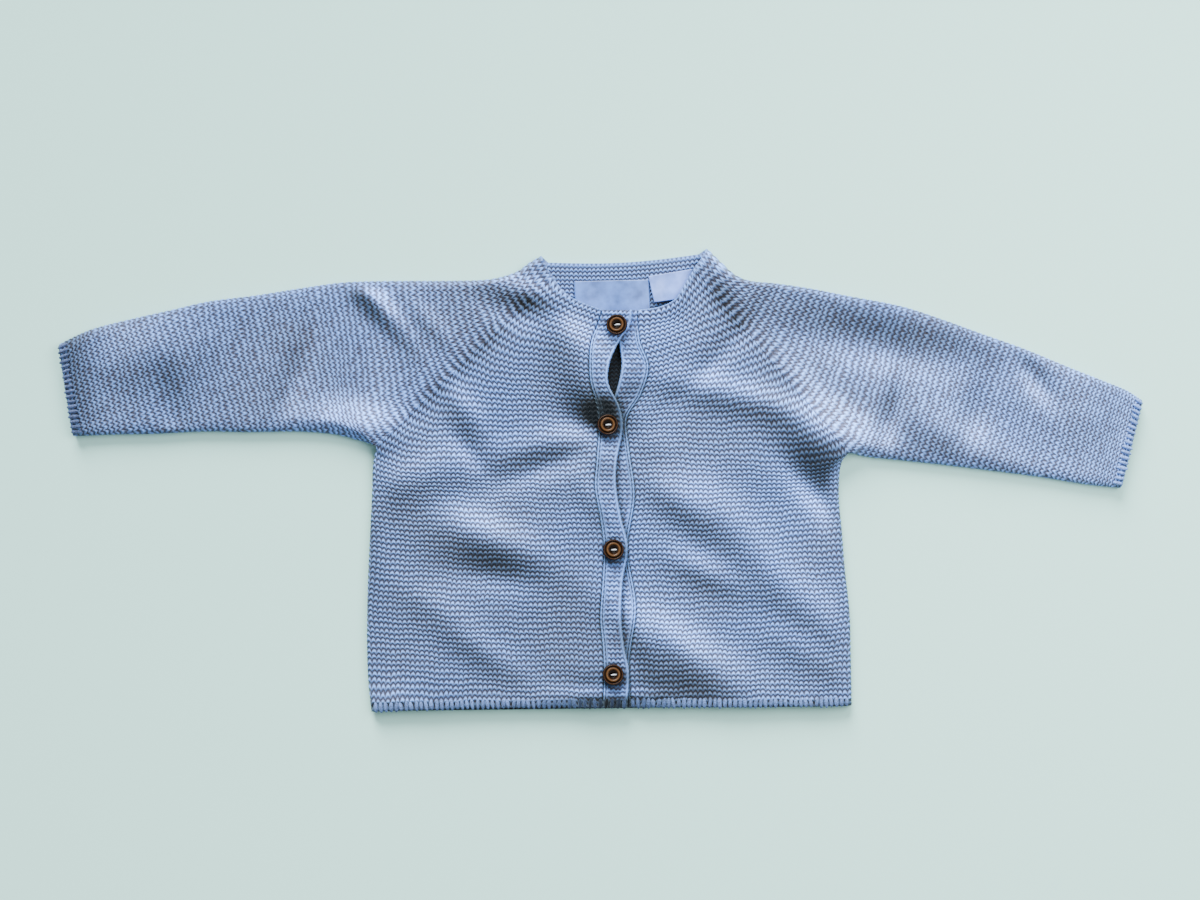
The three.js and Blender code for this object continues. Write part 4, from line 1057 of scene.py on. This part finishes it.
SLOT_HALF_WIDTH = 0.20
THREAD_RADIUS = 0.00042
THREAD_HALF_LENGTH = 0.00145
THREAD_HEIGHT = 0.0021
THREAD_OFFSET = 0.0004
THREAD_SLANT = 0.0001
THREAD_DIP = 0.0009
THREAD_SIDES = 10
BUTTON_SINK = 0.75


def wood_material():
    """Polished brown wood with grain: painted light on the raised parts, a painted highlight, and dark in the
    grooves, painted shade, from a point attribute.
    """
    material = plain_material("button_wood", (0.2, 0.09, 0.03), 0.42, gloss=0.12)
    tree = material.node_tree
    shader = tree.nodes["Principled BSDF"]
    shader.inputs["Coat Weight"].default_value = 0.05
    shader.inputs["Coat Roughness"].default_value = 0.15
    tone = tree.nodes.new("ShaderNodeAttribute")
    tone.attribute_name = "Tone"
    place = tree.nodes.new("ShaderNodeTexCoord").outputs["Object"]
    grain = noise(tree, place, 900, 3.0)
    value = link_maths(tree, "ADD", tone.outputs["Fac"], link_maths(tree, "MULTIPLY", link_maths(tree, "SUBTRACT", grain, 0.5), 0.5))
    colour = colour_ramp(tree, value, [(0.0, (0.004, 0.0012, 0.0003)), (0.45, (0.013, 0.0042, 0.0008)), (1.0, (0.070, 0.030, 0.008))])
    tree.links.new(colour, shader.inputs["Base Color"])
    return material


def tube(name, path, radius, sides, material):
    """A closed round bar along a path of points that lies level, with flat ends."""
    along = np.gradient(path, axis=0)
    along /= np.linalg.norm(along, axis=1, keepdims=True)
    across = np.stack([-along[:, 1], along[:, 0], 0 * along[:, 0]], -1)
    across /= np.maximum(np.linalg.norm(across, axis=1, keepdims=True), 1e-9)
    up = np.cross(along, across)
    angle = np.arange(sides) * 2 * np.pi / sides
    ring = across[:, None] * np.cos(angle)[None, :, None] + up[:, None] * np.sin(angle)[None, :, None]
    points = path[:, None] + ring * radius
    rows = len(path)
    index = np.arange(rows * sides).reshape(rows, sides)
    ahead = np.roll(index, -1, axis=1)
    quads = np.stack([index[:-1], ahead[:-1], ahead[1:], index[1:]], -1).reshape(-1, 4).tolist()
    return add_mesh(name, points, quads + [index[0, ::-1].tolist(), index[-1].tolist()], material)


wood = wood_material()
thread_material = plain_material("white_thread", (0.55, 0.56, 0.58), 0.6, sheen=0.3)


def leaned(points, x, y, tilt, nod):
    """Points of a button about its own foot, leaned to the right by the tilt and to the neck by the nod, resting
    on the lowest edge at its place on the band."""
    side = math.radians(tilt)
    front = math.radians(nod)
    across = points[:, 0] * math.cos(side) + points[:, 2] * math.sin(side)
    height = points[:, 2] * math.cos(side) - points[:, 0] * math.sin(side)
    along = points[:, 1] * math.cos(front) + height * math.sin(front)
    height = height * math.cos(front) - points[:, 1] * math.sin(front)
    rest = BUTTON_FLOOR + BUTTON_SINK * BUTTON_RADIUS * math.hypot(math.sin(side), math.sin(front))
    return np.stack([x + across, y + along, rest + height], -1)


def button(name, x, y, tilt, nod):
    """The profile turned round the axis, with the oval slot sunk into the dish, then leaned."""
    rings = np.linspace(0, len(BUTTON_PROFILE["radius"]) - 1, (len(BUTTON_PROFILE["radius"]) - 1) * BUTTON_RINGS + 1)
    step = np.arange(len(BUTTON_PROFILE["radius"]))
    profile = dict(BUTTON_PROFILE, step=step.astype(float))
    radius = np.clip(read(profile, "step", rings, "radius"), 0, 1)[1:-1, None]
    height = np.clip(read(profile, "step", rings, "height"), 0, 1)[1:-1, None]
    tone = np.clip(read(profile, "step", rings, "tone"), 0, 1)[1:-1, None]
    angle = (np.arange(BUTTON_SIDES) * 2 * np.pi / BUTTON_SIDES)[None]
    flat_x = radius * np.cos(angle)
    flat_y = radius * np.sin(angle)
    slot = (flat_x / SLOT_HALF_LENGTH) ** 2 + (flat_y / SLOT_HALF_WIDTH) ** 2
    upper = (np.arange(len(radius)) < 13 * BUTTON_RINGS)[:, None]
    sunk = (1 - smooth((slot - 0.55) / 0.6)) * upper
    z = (height + 0 * angle) * (1 - 0.75 * sunk)
    points = np.stack([flat_x * BUTTON_RADIUS, flat_y * BUTTON_RADIUS, z * BUTTON_THICKNESS], -1).reshape(-1, 3)
    centre_top = [[0, 0, z[0].mean() * BUTTON_THICKNESS]]
    points = np.concatenate([points, centre_top, [[0, 0, 0]]])
    turned = leaned(points, x, y, tilt, nod)
    count = len(radius)
    index = np.arange(count * BUTTON_SIDES).reshape(count, BUTTON_SIDES)
    ahead = np.roll(index, -1, axis=1)
    faces = np.stack([index[:-1], index[1:], ahead[1:], ahead[:-1]], -1).reshape(-1, 4).tolist()
    top, bottom = count * BUTTON_SIDES, count * BUTTON_SIDES + 1
    faces += [[top, index[0, i], ahead[0, i]] for i in range(BUTTON_SIDES)]
    faces += [[bottom, ahead[-1, i], index[-1, i]] for i in range(BUTTON_SIDES)]
    piece = add_mesh(name + "_turned", turned, faces, wood)
    # The sunk slot loses its tone: painted shade in the dish.
    tones = np.concatenate([(tone * (1 - sunk)).ravel(), [0, 0]]).astype(np.float32)
    piece.data.attributes.new("Tone", "FLOAT", "POINT").data.foreach_set("value", tones)
    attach(piece, "root")
    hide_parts(name)
    run = np.linspace(-1, 1, 9)
    path = np.stack([
        THREAD_OFFSET + run * THREAD_HALF_LENGTH, THREAD_SLANT * run, THREAD_HEIGHT - THREAD_DIP * run**2,
    ], -1)
    thread = tube(name + "_thread", leaned(path, x, y, tilt, nod), THREAD_RADIUS, THREAD_SIDES, thread_material)
    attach(thread, "root")


for number, (x, y, tilt, nod) in enumerate(zip(*BUTTONS.values()), 1):
    button(f"button_{number}", x, y, tilt, nod)

# The labels: a woven satin label sewn flat to the inside of the back below the neck strip, and a folded care
# tag beside it. Both are bare.
LABEL_FLOOR = WALL + BAND_CLEARANCE
LABEL_THICKNESS = 0.0005
NECK_LABEL = [(-0.0154, 0.1154), (0.0280, 0.1164), (0.0290, 0.0960), (-0.0142, 0.0950)]
CARE_TAG = [(0.0278, 0.1182), (0.0536, 0.1226), (0.0500, 0.1056), (0.0312, 0.1032)]
LABEL_STEPS = 40


def satin_material(name, low, high):
    """Satin between two tones, blended by a slow noise as the painted shade and sheen of slow creases, with a fine
    weave that reflects softly.
    """
    material = plain_material(name, high, 0.42, sheen=0.2)
    tree = material.node_tree
    place = tree.nodes.new("ShaderNodeTexCoord").outputs["Object"]
    colour = colour_ramp(tree, noise(tree, place, 120, 3.0), [(0.35, low), (0.65, high)])
    tree.links.new(colour, tree.nodes["Principled BSDF"].inputs["Base Color"])
    weave = noise(tree, place, 2600, 1.0)
    tree.links.new(bumped(tree, weave, 0.25, 0.0001), tree.nodes["Principled BSDF"].inputs["Normal"])
    return material


def label(name, node, corners, base, lift, satin):
    """A thin sheet through four corners, with slow waves and a lift along its lower edge."""
    top_left, top_right, low_right, low_left = np.array(corners)
    down = np.linspace(0, 1, LABEL_STEPS + 1)[:, None, None]
    across = np.linspace(0, 1, LABEL_STEPS + 1)[None, :, None]
    spot = mix(mix(top_left, top_right, across), mix(low_left, low_right, across), down)
    wave = np.sin(9.5 * across + 2.2 * down)[..., 0] * np.sin(np.pi * down[..., 0])
    z = LABEL_FLOOR + base + 0.00035 * wave + lift * smooth(down[..., 0] * 1.2 - 0.2)
    outer = np.concatenate([spot, (z + LABEL_THICKNESS)[..., None]], -1)
    inner = np.concatenate([spot, z[..., None]], -1)
    piece = shell(name, outer, inner, 1, outer[..., :2] / 0.001, satin)
    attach(piece, "root")
    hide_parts(node)


label(
    "neck_label_satin", "neck_label", NECK_LABEL, 0.0004, 0.0,
    satin_material("cool_satin", (0.050, 0.105, 0.30), (0.098, 0.210, 0.58)),
)
label(
    "care_tag_satin", "care_tag", CARE_TAG, 0.0013, 0.0009,
    satin_material("white_satin", (0.105, 0.190, 0.52), (0.19, 0.32, 0.82)),
)
